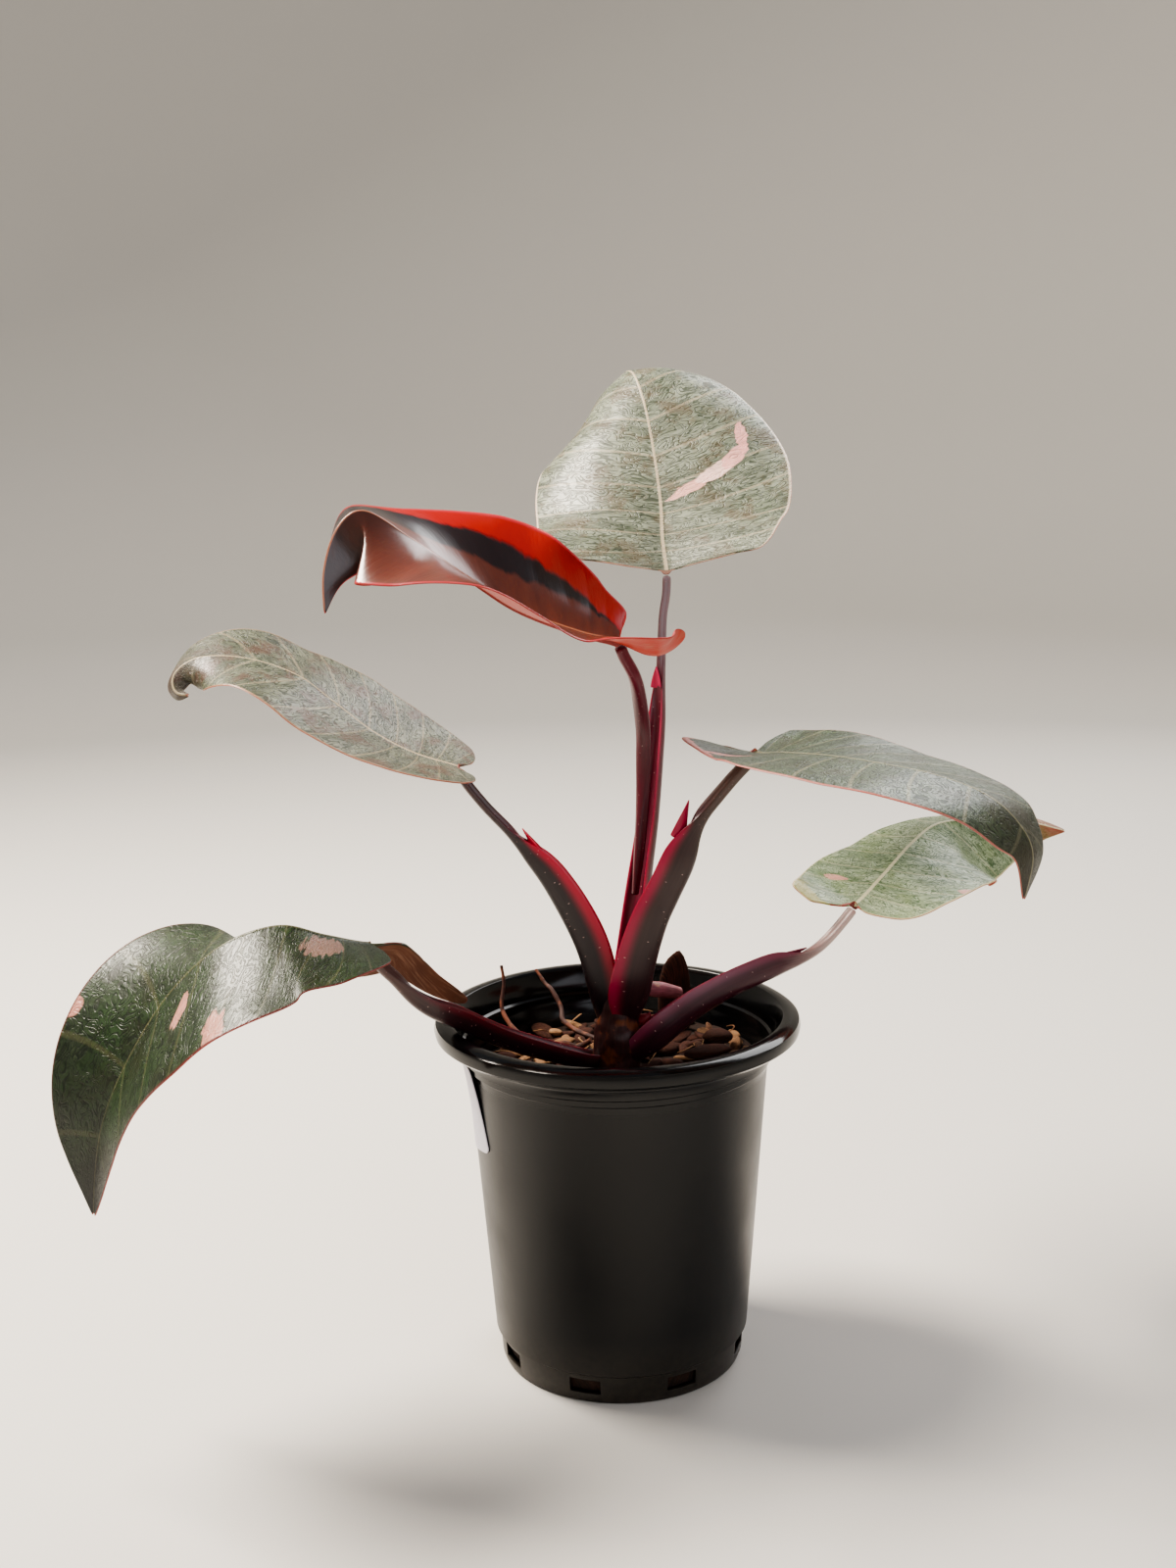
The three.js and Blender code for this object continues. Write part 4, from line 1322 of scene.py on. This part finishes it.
@dataclass
class PottingMix:
    """Bark and coir mix: a bed that fills the pot, covered by loose chips and fibres."""

    radius: float = 61.3
    top: float = 126.5
    rise: float = 5.0
    chips: int = 210
    reach: float = 57.5
    fibres: int = 46
    seed: int = 11
    shapes: int = 6
    clear: float = 10.0
    stem_back: float = 5.0
    rim: float = 62.0
    sunk: float = 1.5
    standing: tuple[Point, Point] = ((26.0, 29.0, 145.0), (48.0, 16.0, 4.0))

    def __post_init__(self) -> None:
        """Starts the seeded draw."""
        self.draw = random.Random(self.seed)

    def height(self, x: float, y: float) -> float:
        """How high the mix stands at a place: it rises to the right."""
        return self.top + self.rise * max(0.0, (x * math.cos(0.6) + y * math.sin(0.6)) / self.reach)

    def tint(self, mesh: bpy.types.Mesh, shade: float) -> None:
        """Writes how pale a piece of the mix is, from 0 to 1, where its material reads it."""
        attribute = mesh.attributes.new("shade", "FLOAT", "POINT")
        attribute.data.foreach_set("value", [shade] * len(mesh.vertices))

    def bed(self) -> bpy.types.Object:
        """Builds the bed under the chips.

        Returns:
            The piece.
        """
        profile = [(0.5, 1.9), (48.2, 1.9), (50.2, 3.6), (51, 13.2), (52.6, 14.8), (61.2, 125)]
        across = (0.93, 0.82, 0.68, 0.54, 0.4, 0.26, 0.14, 0.02)
        profile += [(61.0, self.top)] + [(self.radius * share, self.top) for share in across]
        angle = np.linspace(0, 2 * np.pi, 97)
        points = np.array([[(r * math.cos(a), r * math.sin(a), z) for a in angle] for r, z in profile])
        for row in points[6:]:
            for spot in row:
                bumps = 1.6 * noise.noise(Vector(spot) / 7) + 0.8 * noise.noise(Vector(spot) / 2.6)
                spot[2] = self.height(spot[0], spot[1]) - self.sunk + bumps
        points[:, -1] = points[:, 0]
        bed = sheet_object("potting_mix_bed", points, {"grain": points[..., :2] / 20})
        close_tube(bed)
        self.tint(bed.data, 0.1)
        subdivide(bed)
        smooth_shading(bed, 60)
        return bed

    def shape(self, number: int) -> bpy.types.Object:
        """Models one bark chip, 1 mm each way, to be copied at a chip's size.

        Args:
            number: which of the shapes it is.

        Returns:
            The chip.
        """
        bpy.ops.object.select_all(action="DESELECT")
        bpy.ops.mesh.primitive_cube_add(size=MM)
        chip = bpy.context.object
        chip.name = f"chip_shape_{number}"
        bpy.ops.object.mode_set(mode="EDIT")
        bpy.ops.mesh.select_all(action="SELECT")
        bpy.ops.mesh.subdivide(number_cuts=2, smoothness=0)
        bpy.ops.object.mode_set(mode="OBJECT")
        for vertex in chip.data.vertices:
            x, y, z = vertex.co * 2 / MM
            p = Vector((x * math.sqrt(1 - 0.3 * (y * y + z * z)), y * math.sqrt(1 - 0.3 * (x * x + z * z)),
                        z * math.sqrt(1 - 0.3 * (x * x + y * y)))) / 2
            wander = Vector((number * 7.3, 0, 0))
            taper = 1 - 0.35 * abs(p.x) * (1 + noise.noise(p * 1.4 + wander))
            ragged = 0.13 * noise.noise(Vector((p.x * 2, p.y * 7, p.z * 5)) + wander)
            p = Vector((p.x * (1 + 0.35 * noise.noise(Vector((0, p.y * 4, p.z * 3)) + wander)),
                        p.y * taper + ragged, p.z * taper + 0.6 * ragged + 0.12 * p.x * p.x))
            vertex.co = p * MM
        layer = chip.data.uv_layers.new(name="grain")
        for loop in chip.data.loops:
            p = chip.data.vertices[loop.vertex_index].co / MM
            layer.data[loop.index].uv = (p.x, p.y + 0.7 * p.z)
        return chip

    def copy(self, shape: bpy.types.Object, size: Point, spot: Point, turns: Point,
             shade: float) -> bpy.types.Object:
        """Copies a shape with its own mesh to a size and place.

        Args:
            shape: what is copied.
            size: its length, width and height.
            spot: where its middle goes.
            turns: its turns about X, Y and then Z, in radians.
            shade: how pale it is, from 0 to 1.

        Returns:
            The copy.
        """
        mesh = shape.data.copy()
        turned = (Matrix.Rotation(turns[2], 4, "Z") @ Matrix.Rotation(turns[1], 4, "Y")
                  @ Matrix.Rotation(turns[0], 4, "X"))
        mesh.transform(Matrix.Translation(Vector(spot) * MM) @ turned @ Matrix.Diagonal((*size, 1)))
        self.tint(mesh, shade)
        made = bpy.data.objects.new("chip", mesh)
        bpy.context.scene.collection.objects.link(made)
        return made

    def join(self, name: str, parts: list[bpy.types.Object]) -> bpy.types.Object:
        """Joins parts into one named piece.

        Args:
            name: the piece's name.
            parts: the parts.

        Returns:
            The piece.
        """
        pick_out(*parts)
        bpy.ops.object.join()
        made = bpy.context.object
        made.name = made.data.name = name
        return made

    def scatter(self) -> bpy.types.Object:
        """Scatters the bark chips over the bed.

        Returns:
            The piece.
        """
        shapes = [self.shape(number) for number in range(self.shapes)]
        copies = []
        for number in range(self.chips):
            radius = self.reach * math.sqrt((number + 0.5) / self.chips)
            angle = number * math.pi * (3 - math.sqrt(5)) + self.draw.uniform(-0.3, 0.3)
            x, y = radius * math.cos(angle), radius * math.sin(angle)
            size = (self.draw.uniform(6, 16), self.draw.uniform(3.5, 8), self.draw.uniform(1.6, 4))
            turns = (self.draw.uniform(-0.45, 0.45), self.draw.uniform(-0.4, 0.4),
                     self.draw.uniform(0, math.pi))
            spot = (x, y, self.height(x, y) + self.draw.uniform(-1.4, 1.2))
            shade = self.draw.random() ** 1.6
            if math.hypot(x, y + self.stem_back) > self.clear and radius + size[0] / 2 < self.rim + 0.5:
                copies.append(self.copy(self.draw.choice(shapes), size, spot, turns, shade))
        copies += self.placed(shapes)
        for shape in shapes:
            bpy.data.objects.remove(shape)
        made = self.join("bark_chips", copies)
        subdivide(made)
        smooth_shading(made, 60)
        return made

    def placed(self, shapes: list[bpy.types.Object]) -> list[bpy.types.Object]:
        """Places the large chips that show beside the stem.

        Args:
            shapes: the chip shapes.

        Returns:
            The chips.
        """
        rows = [
            (1, (21, 10, 4), (38, -6, 134), (0.1, -0.05, 0.25), 0.15),
            (2, (14, 9, 6), (43, 6, 136.5), (0.2, 0.1, 0.5), 0.3),
            (3, (15, 6, 2.5), (47, -16, 132.5), (0.25, -0.2, 0.3), 0.95),
            (4, (13, 5, 2.2), (50, -9, 134.5), (-0.2, 0.25, 1.1), 0.85),
            (5, (12, 5, 2.5), (27, -19, 131), (0.2, 0.1, -0.2), 1.0),
            (0, (11, 5, 2.5), (36, -25, 130), (-0.2, 0.1, 0.6), 0.7),
            (1, (12, 4, 2.2), (55, -3, 134), (0.1, 0.35, 1.3), 0.8),
            (3, self.standing[1], self.standing[0], (1.57, -1.52, 0.1), 0.12),
        ]
        return [self.copy(shapes[i], size, spot, turns, shade) for i, size, spot, turns, shade in rows]

    def strands(self) -> bpy.types.Object:
        """Scatters thin curled coir fibres and fine dead roots.

        Returns:
            The piece.
        """
        parts = []
        for _ in range(self.fibres):
            angle, radius = self.draw.uniform(0, 2 * math.pi), self.reach * math.sqrt(self.draw.random())
            x, y = radius * math.cos(angle), radius * math.sin(angle)
            heading, length = self.draw.uniform(0, 2 * math.pi), self.draw.uniform(7, 20)
            if math.hypot(x, y + self.stem_back) < self.clear or radius + length / 2 > self.rim:
                continue
            curl = self.draw.uniform(-0.5, 0.5)
            points = []
            for k in range(5):
                s = (k / 4 - 0.5) * length
                lift = 2.4 + 1.6 * math.sin(math.pi * k / 4) + self.draw.uniform(-0.6, 0.6)
                points.append((x + s * math.cos(heading + curl * k), y + s * math.sin(heading + curl * k),
                               self.height(x, y) + lift))
            thick = self.draw.uniform(0.18, 0.42)
            strand = round_body("fibre", Line(points, (0, 0.1, 1)), [thick * 0.6, thick, thick * 0.5], 6, 14)
            strand.data.uv_layers[0].name = "grain"
            self.tint(strand.data, self.draw.uniform(0.3, 1))
            parts.append(strand)
        return self.join("coir_fibres", parts)

    def build(self) -> None:
        """Builds the bed, the chips and the fibres, and dresses them."""
        bark = Bark("composted pine bark", "241109", "4e281a", "a07a58", 0.55).material()
        crumb = Bark("damp bark crumb", "150b07", "2e1b12", "5a3d2a", 0.7).material()
        coir = Bark("coir fibre", "4a2a1c", "74482c", "b8906a", 0.3).material()
        bed, chips, strands = self.bed(), self.scatter(), self.strands()
        for piece, material in ((bed, crumb), (chips, bark), (strands, coir)):
            piece.data.materials.clear()
            piece.data.materials.append(material)
        place(bed, "potting_mix", "potting_mix")
        place(chips, "potting_mix")
        place(strands, "potting_mix")


@dataclass
class Studio:
    """The plain pale floor, the soft lights and the camera at the photograph's viewing angle."""

    image_width: int = 1200
    image_height: int = 1600
    focal_pixels: float = 1700.0
    sensor: float = 36.0
    pitch: float = 10.117
    roll: float = -1.067
    eye: Point = (-10.371, -675.4, 368.5)
    floor_colour: str = "d6d3cd"

    def camera(self) -> None:
        """Sets the camera where the photograph was taken from."""
        data = bpy.data.cameras.new("camera")
        data.sensor_width = self.sensor
        data.lens = self.focal_pixels * self.sensor / max(self.image_width, self.image_height)
        camera = bpy.data.objects.new("camera", data)
        bpy.context.scene.collection.objects.link(camera)
        pitch, roll = math.radians(self.pitch), math.radians(self.roll)
        ahead = Vector((0, math.cos(pitch), -math.sin(pitch)))
        right, up = Vector((1, 0, 0)), Vector((0, math.sin(pitch), math.cos(pitch)))
        turned_right = math.cos(roll) * right + math.sin(roll) * up
        turned_up = math.cos(roll) * up - math.sin(roll) * right
        turn = Matrix((turned_right, turned_up, -ahead)).transposed().to_4x4()
        camera.matrix_world = Matrix.Translation(Vector(self.eye) * MM) @ turn
        data.clip_start, data.clip_end = 0.01, 50
        bpy.context.scene.camera = camera

    def floor(self) -> None:
        """Builds a pale floor that sweeps up into a wall all round."""
        profile = [(0.3, 0.0), (1.2, 0.0), (2.0, 0.0), (2.5, 0.12), (2.8, 0.5), (2.9, 1.1), (2.9, 2.4)]
        bpy.ops.object.select_all(action="DESELECT")
        bpy.ops.mesh.primitive_circle_add(vertices=96, radius=profile[0][0], fill_type="NGON")
        floor = bpy.context.object
        floor.name = "studio_floor"
        bpy.ops.object.mode_set(mode="EDIT")
        bpy.ops.mesh.select_all(action="DESELECT")
        bpy.ops.mesh.select_mode(type="EDGE")
        bpy.ops.mesh.select_all(action="SELECT")
        for (radius, height), (next_radius, next_height) in zip(profile, profile[1:]):
            bpy.ops.mesh.extrude_edges_move(TRANSFORM_OT_translate={"value": (0, 0, next_height - height)})
            share = next_radius / radius
            bpy.ops.transform.resize(value=(share, share, 1), center_override=(0, 0, 0))
        bpy.ops.object.mode_set(mode="OBJECT")
        smooth_shading(floor, 60)
        paint = Paint("matt pale studio paper")
        paper = paint.finish({"Base Color": linear(self.floor_colour), "Roughness": 0.9})
        floor.data.materials.append(paper)

    def light(self, name: str, spot: Point, size: float, power: float, colour: str) -> None:
        """Hangs a square soft light that looks at the plant.

        Args:
            name: the light's name.
            spot: where it is, in metres.
            size: its side, in metres.
            power: its power in watts.
            colour: its colour.
        """
        data = bpy.data.lights.new(name, "AREA")
        data.shape = "SQUARE"
        data.size = size
        data.energy = power
        data.color = linear(colour)[:3]
        light = bpy.data.objects.new(name, data)
        bpy.context.scene.collection.objects.link(light)
        away = Vector(spot) - Vector((0, 0, 0.22))
        light.matrix_world = Matrix.Translation(spot) @ away.to_track_quat("Z", "Y").to_matrix().to_4x4()

    def build(self) -> None:
        """Builds the whole studio."""
        self.camera()
        self.floor()
        self.light("key", (-0.8, 0.3, 1.45), 0.6, 66, "fff4e6")
        self.light("fill", (0.9, -1.4, 1.0), 1.2, 9, "eef2ff")
        self.light("back", (0.8, 1.3, 1.3), 0.9, 14, "ffffff")
        world = bpy.data.worlds.new("studio")
        world.use_nodes = True
        world.node_tree.nodes["Background"].inputs[0].default_value = linear("e8eaee")
        world.node_tree.nodes["Background"].inputs[1].default_value = 0.35
        bpy.context.scene.world = world
        bpy.context.scene.view_settings.look = "AgX - Medium High Contrast"


LEAVES = [
    Leaf("a", 120, [
        (25, 38, 325), (25, 45, 332), (24, 57, 345), (24, 72, 361), (22, 92, 384), (19, 112, 405),
        (15, 134, 420), (11, 158, 422), (8, 178, 412)], (0, -0.7, 0.7), [0, 0, 0, -5, -8],
        Half(0, [20, 8, 2, -15, -20], [0, -42, -54, -72, -60]),
        Half(0, [20, 12, 8, 0, -10], [0, -10, -30, -50, -60]),
        Cuticle("a", "3e4d34", "a6ab99", "222d1a", 0.72, rib="c9b99c", margin="e2d2bc", tip="6d5c44",
                tip_from=0.9, mottle="5e4a34", mottle_share=0.5, blotches=(
                    Blotch(0.24, 0.458, 0.34, 0.035, 0.08), Blotch(0.44, 0.478, 0.3, 0.04, 0.05, "f4cfc2"),
                    Blotch(0.6, 0.5, 0.2, 0.05, 0.15, "eeb0a8"),
                    Blotch(0.71, 0.545, 0.12, 0.06, 0.3, "ecaaa2")))),
    Leaf("b", 78, [
        (28, 8, 301), (16, 3, 299), (3, 0, 306), (-12, 0, 310), (-37, -2, 320), (-56, -6, 333),
        (-79, -12, 350), (-96, -18, 361), (-106, -22, 354), (-111, -27, 338), (-111, -30, 322)],
        (0, 0, 1), [-25, -30, -30, -40, -40],
        Half(27, [40, 29, 25, -16, -50], [100, -12, 0, 0, 0, 0, 0], fuller=0.3),
        Half(0, [34, 20, 3, -42, -85], [90, 90, 38, 10, 0], taper=0.5),
        # Painted shade: leaf b's near-black tip, where the blade bends down away from the light.
        NewCuticle("b", "a05a40", "b97153", "3a1a1c", 0.3, margin="8a1c24", tip="1c0c0c", tip_from=0.82,
                   # Painted light: the red under colours and the red patch at the left lobe's end are the
                   # new leaf's red brightened by light shining through.
                   under="d8402a", under_dark="a02a1c", blotches=(
                       Blotch(-1.0, 0.1, 1.0, 0.34, 0, "e23a1c"),)),
        behind=2, slot="new_leaf", waviness=0.25),
    Leaf("c", 82, [
        (-50, 0, 252), (-64, 0, 256), (-82, 0, 262), (-98, 0, 271), (-114, 0, 284), (-128, 0, 295),
        (-148, 1, 302), (-167, 0, 303), (-177, -3, 297), (-176, -8, 290), (-170, -10, 289)], (0, -0.1, 1),
        [-10, -10, -13],
        Half(9, [15, 12, 2, -3, -70]),
        Half(6, [-12, 0, 0, -7, 3, -50]),
        Cuticle("c", "2f3f24", "999c88", "151f0f", 0.6, rib="b0a284", margin="a08468", tip="3c2a22",
                tip_from=0.8, mottle="5a3c30", mottle_share=0.62)),
    Leaf("d", 97, [
        (-57, -8, 165), (-71, -16, 176), (-84, -27, 190), (-98, -37, 192), (-114, -46, 198),
        (-131, -53, 204), (-152, -60, 198), (-172, -64, 180), (-189, -66, 154), (-199, -66, 132),
        (-204, -64, 112), (-207, -62, 91)], (0, 0, 1), [-10, -10, -12, -25, -45, -50],
        Half(2, [0, 8, -12, 12, 29, 20], taper=0.45, fuller=-0.25),
        Half(60, [-85, -75, -46, -7, 9, 12], taper=0.55, fuller=-0.05),
        Cuticle("d", "183212", "5c6c50", "0a1407", 0.3, rib="767250", margin="5a2c28", tip="141014",
                tip_from=0.84, mottle="26240f", mottle_share=0.3, under="80523c", under_dark="4a2c20",
                rib_share=0.35, side_vein_share=0.2, roughness=0.34, blotches=(
                    Blotch(-0.42, 0.61, 0.34, 0.035, -0.05, "c98e80"),
                    Blotch(-0.95, 0.48, 0.5, 0.045, 0.1, "c48878"),
                    Blotch(0.97, 0.76, 0.2, 0.03, 0, "c98e80"),
                    Blotch(-0.22, 0.28, 0.34, 0.12, 0, "a88074", 0.6))),
        behind=3),
    Leaf("e", 84, [
        (35, 2, 267), (57, -15, 262), (67, -24, 263), (84, -40, 264), (101, -54, 263), (117, -66, 261),
        (133, -78, 256), (143, -86, 248), (149, -90, 236), (146, -92, 219)], (0, 0, 1), [0, 0, 0],
        Half(2, [15, 7.6, -4, -7, -4]),
        Half(24, [9, 0, -5, -15]),
        Cuticle("e", "213617", "707c62", "0e190a", 0.42, rib="969072", margin="a86c60", tip="30261a",
                tip_from=0.8, mottle="3c3222", mottle_share=0.35, rib_share=0.6, blotches=(
                    Blotch(0.64, 0.27, 0.5, 0.03, -0.12, "e0988e"),
                    Blotch(1.0, 0.19, 0.24, 0.16, 0, "e08a80")))),
    Leaf("f", 80, [
        (90, 14, 187), (104, 25, 188), (118, 38, 197), (134, 55, 208), (149, 70, 214), (172, 84, 213),
        (194, 92, 210), (215, 96, 204)], (0, -0.5, 1), [0, 10, 35, 50],
        Half(21, [4, -24, -56, -64, -50]),
        Half(4, [25, 14, 4, 8]),
        Cuticle("f", "426c20", "e2ebc8", "244a10", 0.56, rib="dcd6b0", margin="e2d6a8", tip="a4422c",
                tip_from=0.84, mottle="6c8030", mottle_share=0.3, under="b04a38", under_dark="8e4438",
                blotches=(Blotch(-0.56, 0.32, 0.3, 0.03, 0, "e8a898"),
                          Blotch(0.98, 0.33, 0.2, 0.03, 0, "e8a898"),
                          Blotch(-0.95, 0.12, 0.6, 0.2, 0, "b0a548", 0.8)))),
]

PETIOLES = [
    Petiole("a", [
        (3, -1, 156), (6, 4, 172), (11, 13, 203), (15, 20, 227), (18, 27, 251), (20, 32, 269),
        (21, 36, 284), (22, 39, 298), (23, 42, 313), (24.6, 44, 322), (25, 44.8, 330.5)],
        (-0.75, -0.65, 0),
        [7, 6.5, 6, 5.2, 5, 4.6, 4, 2.4, 2, 2], [6, 5.6, 5, 4.6, 4.2, 3.8, 3.2, 2.4, 2, 2],
        [3, 3, 3, 3, 2.6, 2.6, 2.4, 0.2, 0, 0], [1, 1, 1, 1.5, 2, 2, 1.5, -1.6, -2, -2],
        PetioleSkin("a", "4a0e1c", "5e1226", "8a7478", "6e1830", "c2325a"), tip_at=0.745, tip_length=9,
        tip_height=2.4),
    Petiole("b", [
        (8.5, 10, 198), (11.3, 16, 222), (12.8, 20, 240), (13.2, 21, 254), (13.2, 19.5, 267),
        (11.3, 12, 283), (9, 6, 292), (5, 2, 300), (3.4, 0.4, 304.3)], (-0.3, -0.6, 0.6),
        [1.6, 2.4, 2.8, 3.2, 3.3, 3.3, 3, 2.8], [1.6, 2.4, 2.8, 3.2, 3.3, 3.3, 3, 2.8],
        [0, 0, 0.2, 0.5, 0.5, 0.5, 0, 0], [-1.6, -2.4, -2.4, -1.6, -1.6, -1.8, -2.4, -2.4],
        PetioleSkin("b", "3a0814", "4c0c1c", "6b1a2c", "560e20")),
    Petiole("c", [
        (-1, -5, 142), (-5, -4, 160), (-9, -3, 177), (-15, -2, 191), (-25.5, -1, 209), (-34.5, 0, 220),
        (-42, 0, 228), (-51.5, 0, 238), (-59.5, 0, 248), (-62.9, 0, 253.6)], (1, 0, 0.1),
        [6, 7.5, 6.5, 5.8, 5.2, 4.4, 2.5, 2.2, 2.2], [5, 6.4, 6.8, 6.6, 6, 5, 2.6, 2.2, 2.2],
        [4, 7, 7.4, 7.4, 6.8, 5, 0.2, 0, 0], [1, 2, 2, 1.8, 1.6, 0.6, -2, -2.2, -2.2],
        PetioleSkin("c", "22101a", "221016", "4a3434", "7a1428", "b01e3a"), tip_at=0.65),
    Petiole("d", [
        (-4, -5.5, 131.5), (-13, -8, 132.5), (-29, -10, 137), (-43, -13, 142.5), (-54, -17, 148.5),
        (-64, -22, 155.5), (-74, -27, 162), (-81, -30, 168), (-88, -33, 176), (-94, -36, 183),
        (-97.2, -37, 189.4)], (0, 0.1, 1),
        [6, 5.6, 5.2, 5, 4.8, 4.6, 4, 3, 2.6], [4, 4.2, 4.4, 4.4, 4.4, 4.6, 4.2, 3, 2.6],
        [3, 3.6, 4.2, 4.4, 4.6, 4.2, 2.4, 0.2, 0], [1, 1.6, 1.6, 1.6, 1.4, 0.8, -1, -2.6, -2.6],
        PetioleSkin("d", "2a1218", "2e1418", "4c2e2a", "341018", "561620")),
    Petiole("e", [
        (3, -7, 146), (6, -11.5, 165), (9.5, -13, 181), (14, -14, 195), (19, -14, 205), (25, -15, 217),
        (30, -15, 229), (35, -15, 237), (40, -15, 243), (46, -15, 250), (51, -15, 255.4),
        (56, -15, 260.4)], (-0.95, 0.2, 0.2),
        [4, 8.4, 8, 7.2, 6.6, 5.8, 3.2, 2.8, 2.6], [4, 8, 8.2, 8, 7.4, 6.6, 3.6, 3, 2.8],
        [3, 8, 8, 7.4, 6.8, 6.6, 0.4, 0, 0], [1, 2, 2, 2, 1.8, 0.8, -2.4, -2.6, -2.6],
        PetioleSkin("e", "34161f", "38221f", "5c463f", "5a1436", "a01a40"), tip_at=0.69, tip_length=16,
        tip_height=6.5),
    Petiole("f", [
        (3, -7, 132), (14, -11, 142.5), (25, -9, 151), (35, -6, 157), (50, 0, 163), (67, 8, 167),
        (78, 13, 168.5), (86, 17, 171), (93, 20, 176), (100, 23, 183), (103.2, 24.6, 186.6)],
        (-0.3, 0.1, 1),
        [6, 7.4, 6.8, 6.2, 5.8, 5.4, 3.4, 2.5, 2.3], [4, 6.6, 6.4, 6, 5.8, 5.2, 3, 2.4, 2.3],
        [3, 6.4, 6, 5.4, 5.2, 4.8, 1.2, 0, 0], [1, 2, 2, 2, 1.8, 1, -1.6, -2.3, -2.3],
        PetioleSkin("f", "341420", "4c1e2a", "c8b0aa", "6a2e3c", "7a3048"), tip_at=0.69, tip_length=14,
        tip_height=3.4),
]

STEM = Stem(
    line=[(0, -4, 112), (-0.5, -5, 125), (0, -6, 138), (1, -6, 151), (3, -4, 163), (4, -2, 172)],
    radii=[8.6, 9.4, 10.3, 9.2, 7.6, 5],
    stub=[(3, -2, 160), (15, 6, 158), (27, 14, 153.5)],
    stub_radii=[3.1, 3.0, 3.3, 2.6],
    bud_place=(11, -8.5, 149),
    bud_radius=2.6,
    roots=[
        ([(-11, 0, 131), (-29, 8, 133), (-42, 16, 136), (-48, 22, 141), (-50, 26, 146), (-49, 30, 155),
          (-50, 32, 162)], 1.1),
        ([(-8.5, 4, 137), (-17, 12, 138), (-23, 18, 141), (-24, 24, 145), (-28, 30, 151), (-31, 34, 153),
          (-35, 38, 158)], 1.1),
        ([(-11, -1, 138), (-17, 1, 134.5), (-23, 2, 136), (-28, 3, 133), (-31, 3, 127)], 1.3),
    ],
)

POT = Pot(
    outside=[
        (50, 0), (51.5, 0.6), (52, 2), (52.8, 12.4), (54.4, 13.6), (63.4, 131.5), (64.6, 132.3),
        (64.9, 134.6), (65.9, 135.4), (66.3, 138.4), (67.2, 139.4), (67.6, 143.2), (74.8, 142.9),
        (76.6, 144.4), (77, 146.6), (76.4, 149), (74.6, 150.2), (72, 150.5)],
    inside=[
        (69.8, 150.5), (68.6, 148.5), (66.2, 143.4), (65.6, 139.6), (64.4, 138.8), (63.8, 134.6),
        (62.1, 131.5), (53.1, 14.4), (51.5, 13), (50.7, 3), (49, 1.6)],
)


def main() -> None:
    """Builds the studio and then the plant from the pot up, and logs each piece."""
    Studio().build()
    POT.build()
    Label().build()
    PottingMix().build()
    STEM.build()
    for petiole in PETIOLES:
        petiole.build()
    for leaf in LEAVES:
        leaf.build()


if __name__ == "__main__":
    logging.basicConfig(level=logging.INFO, format="%(message)s")
    main()
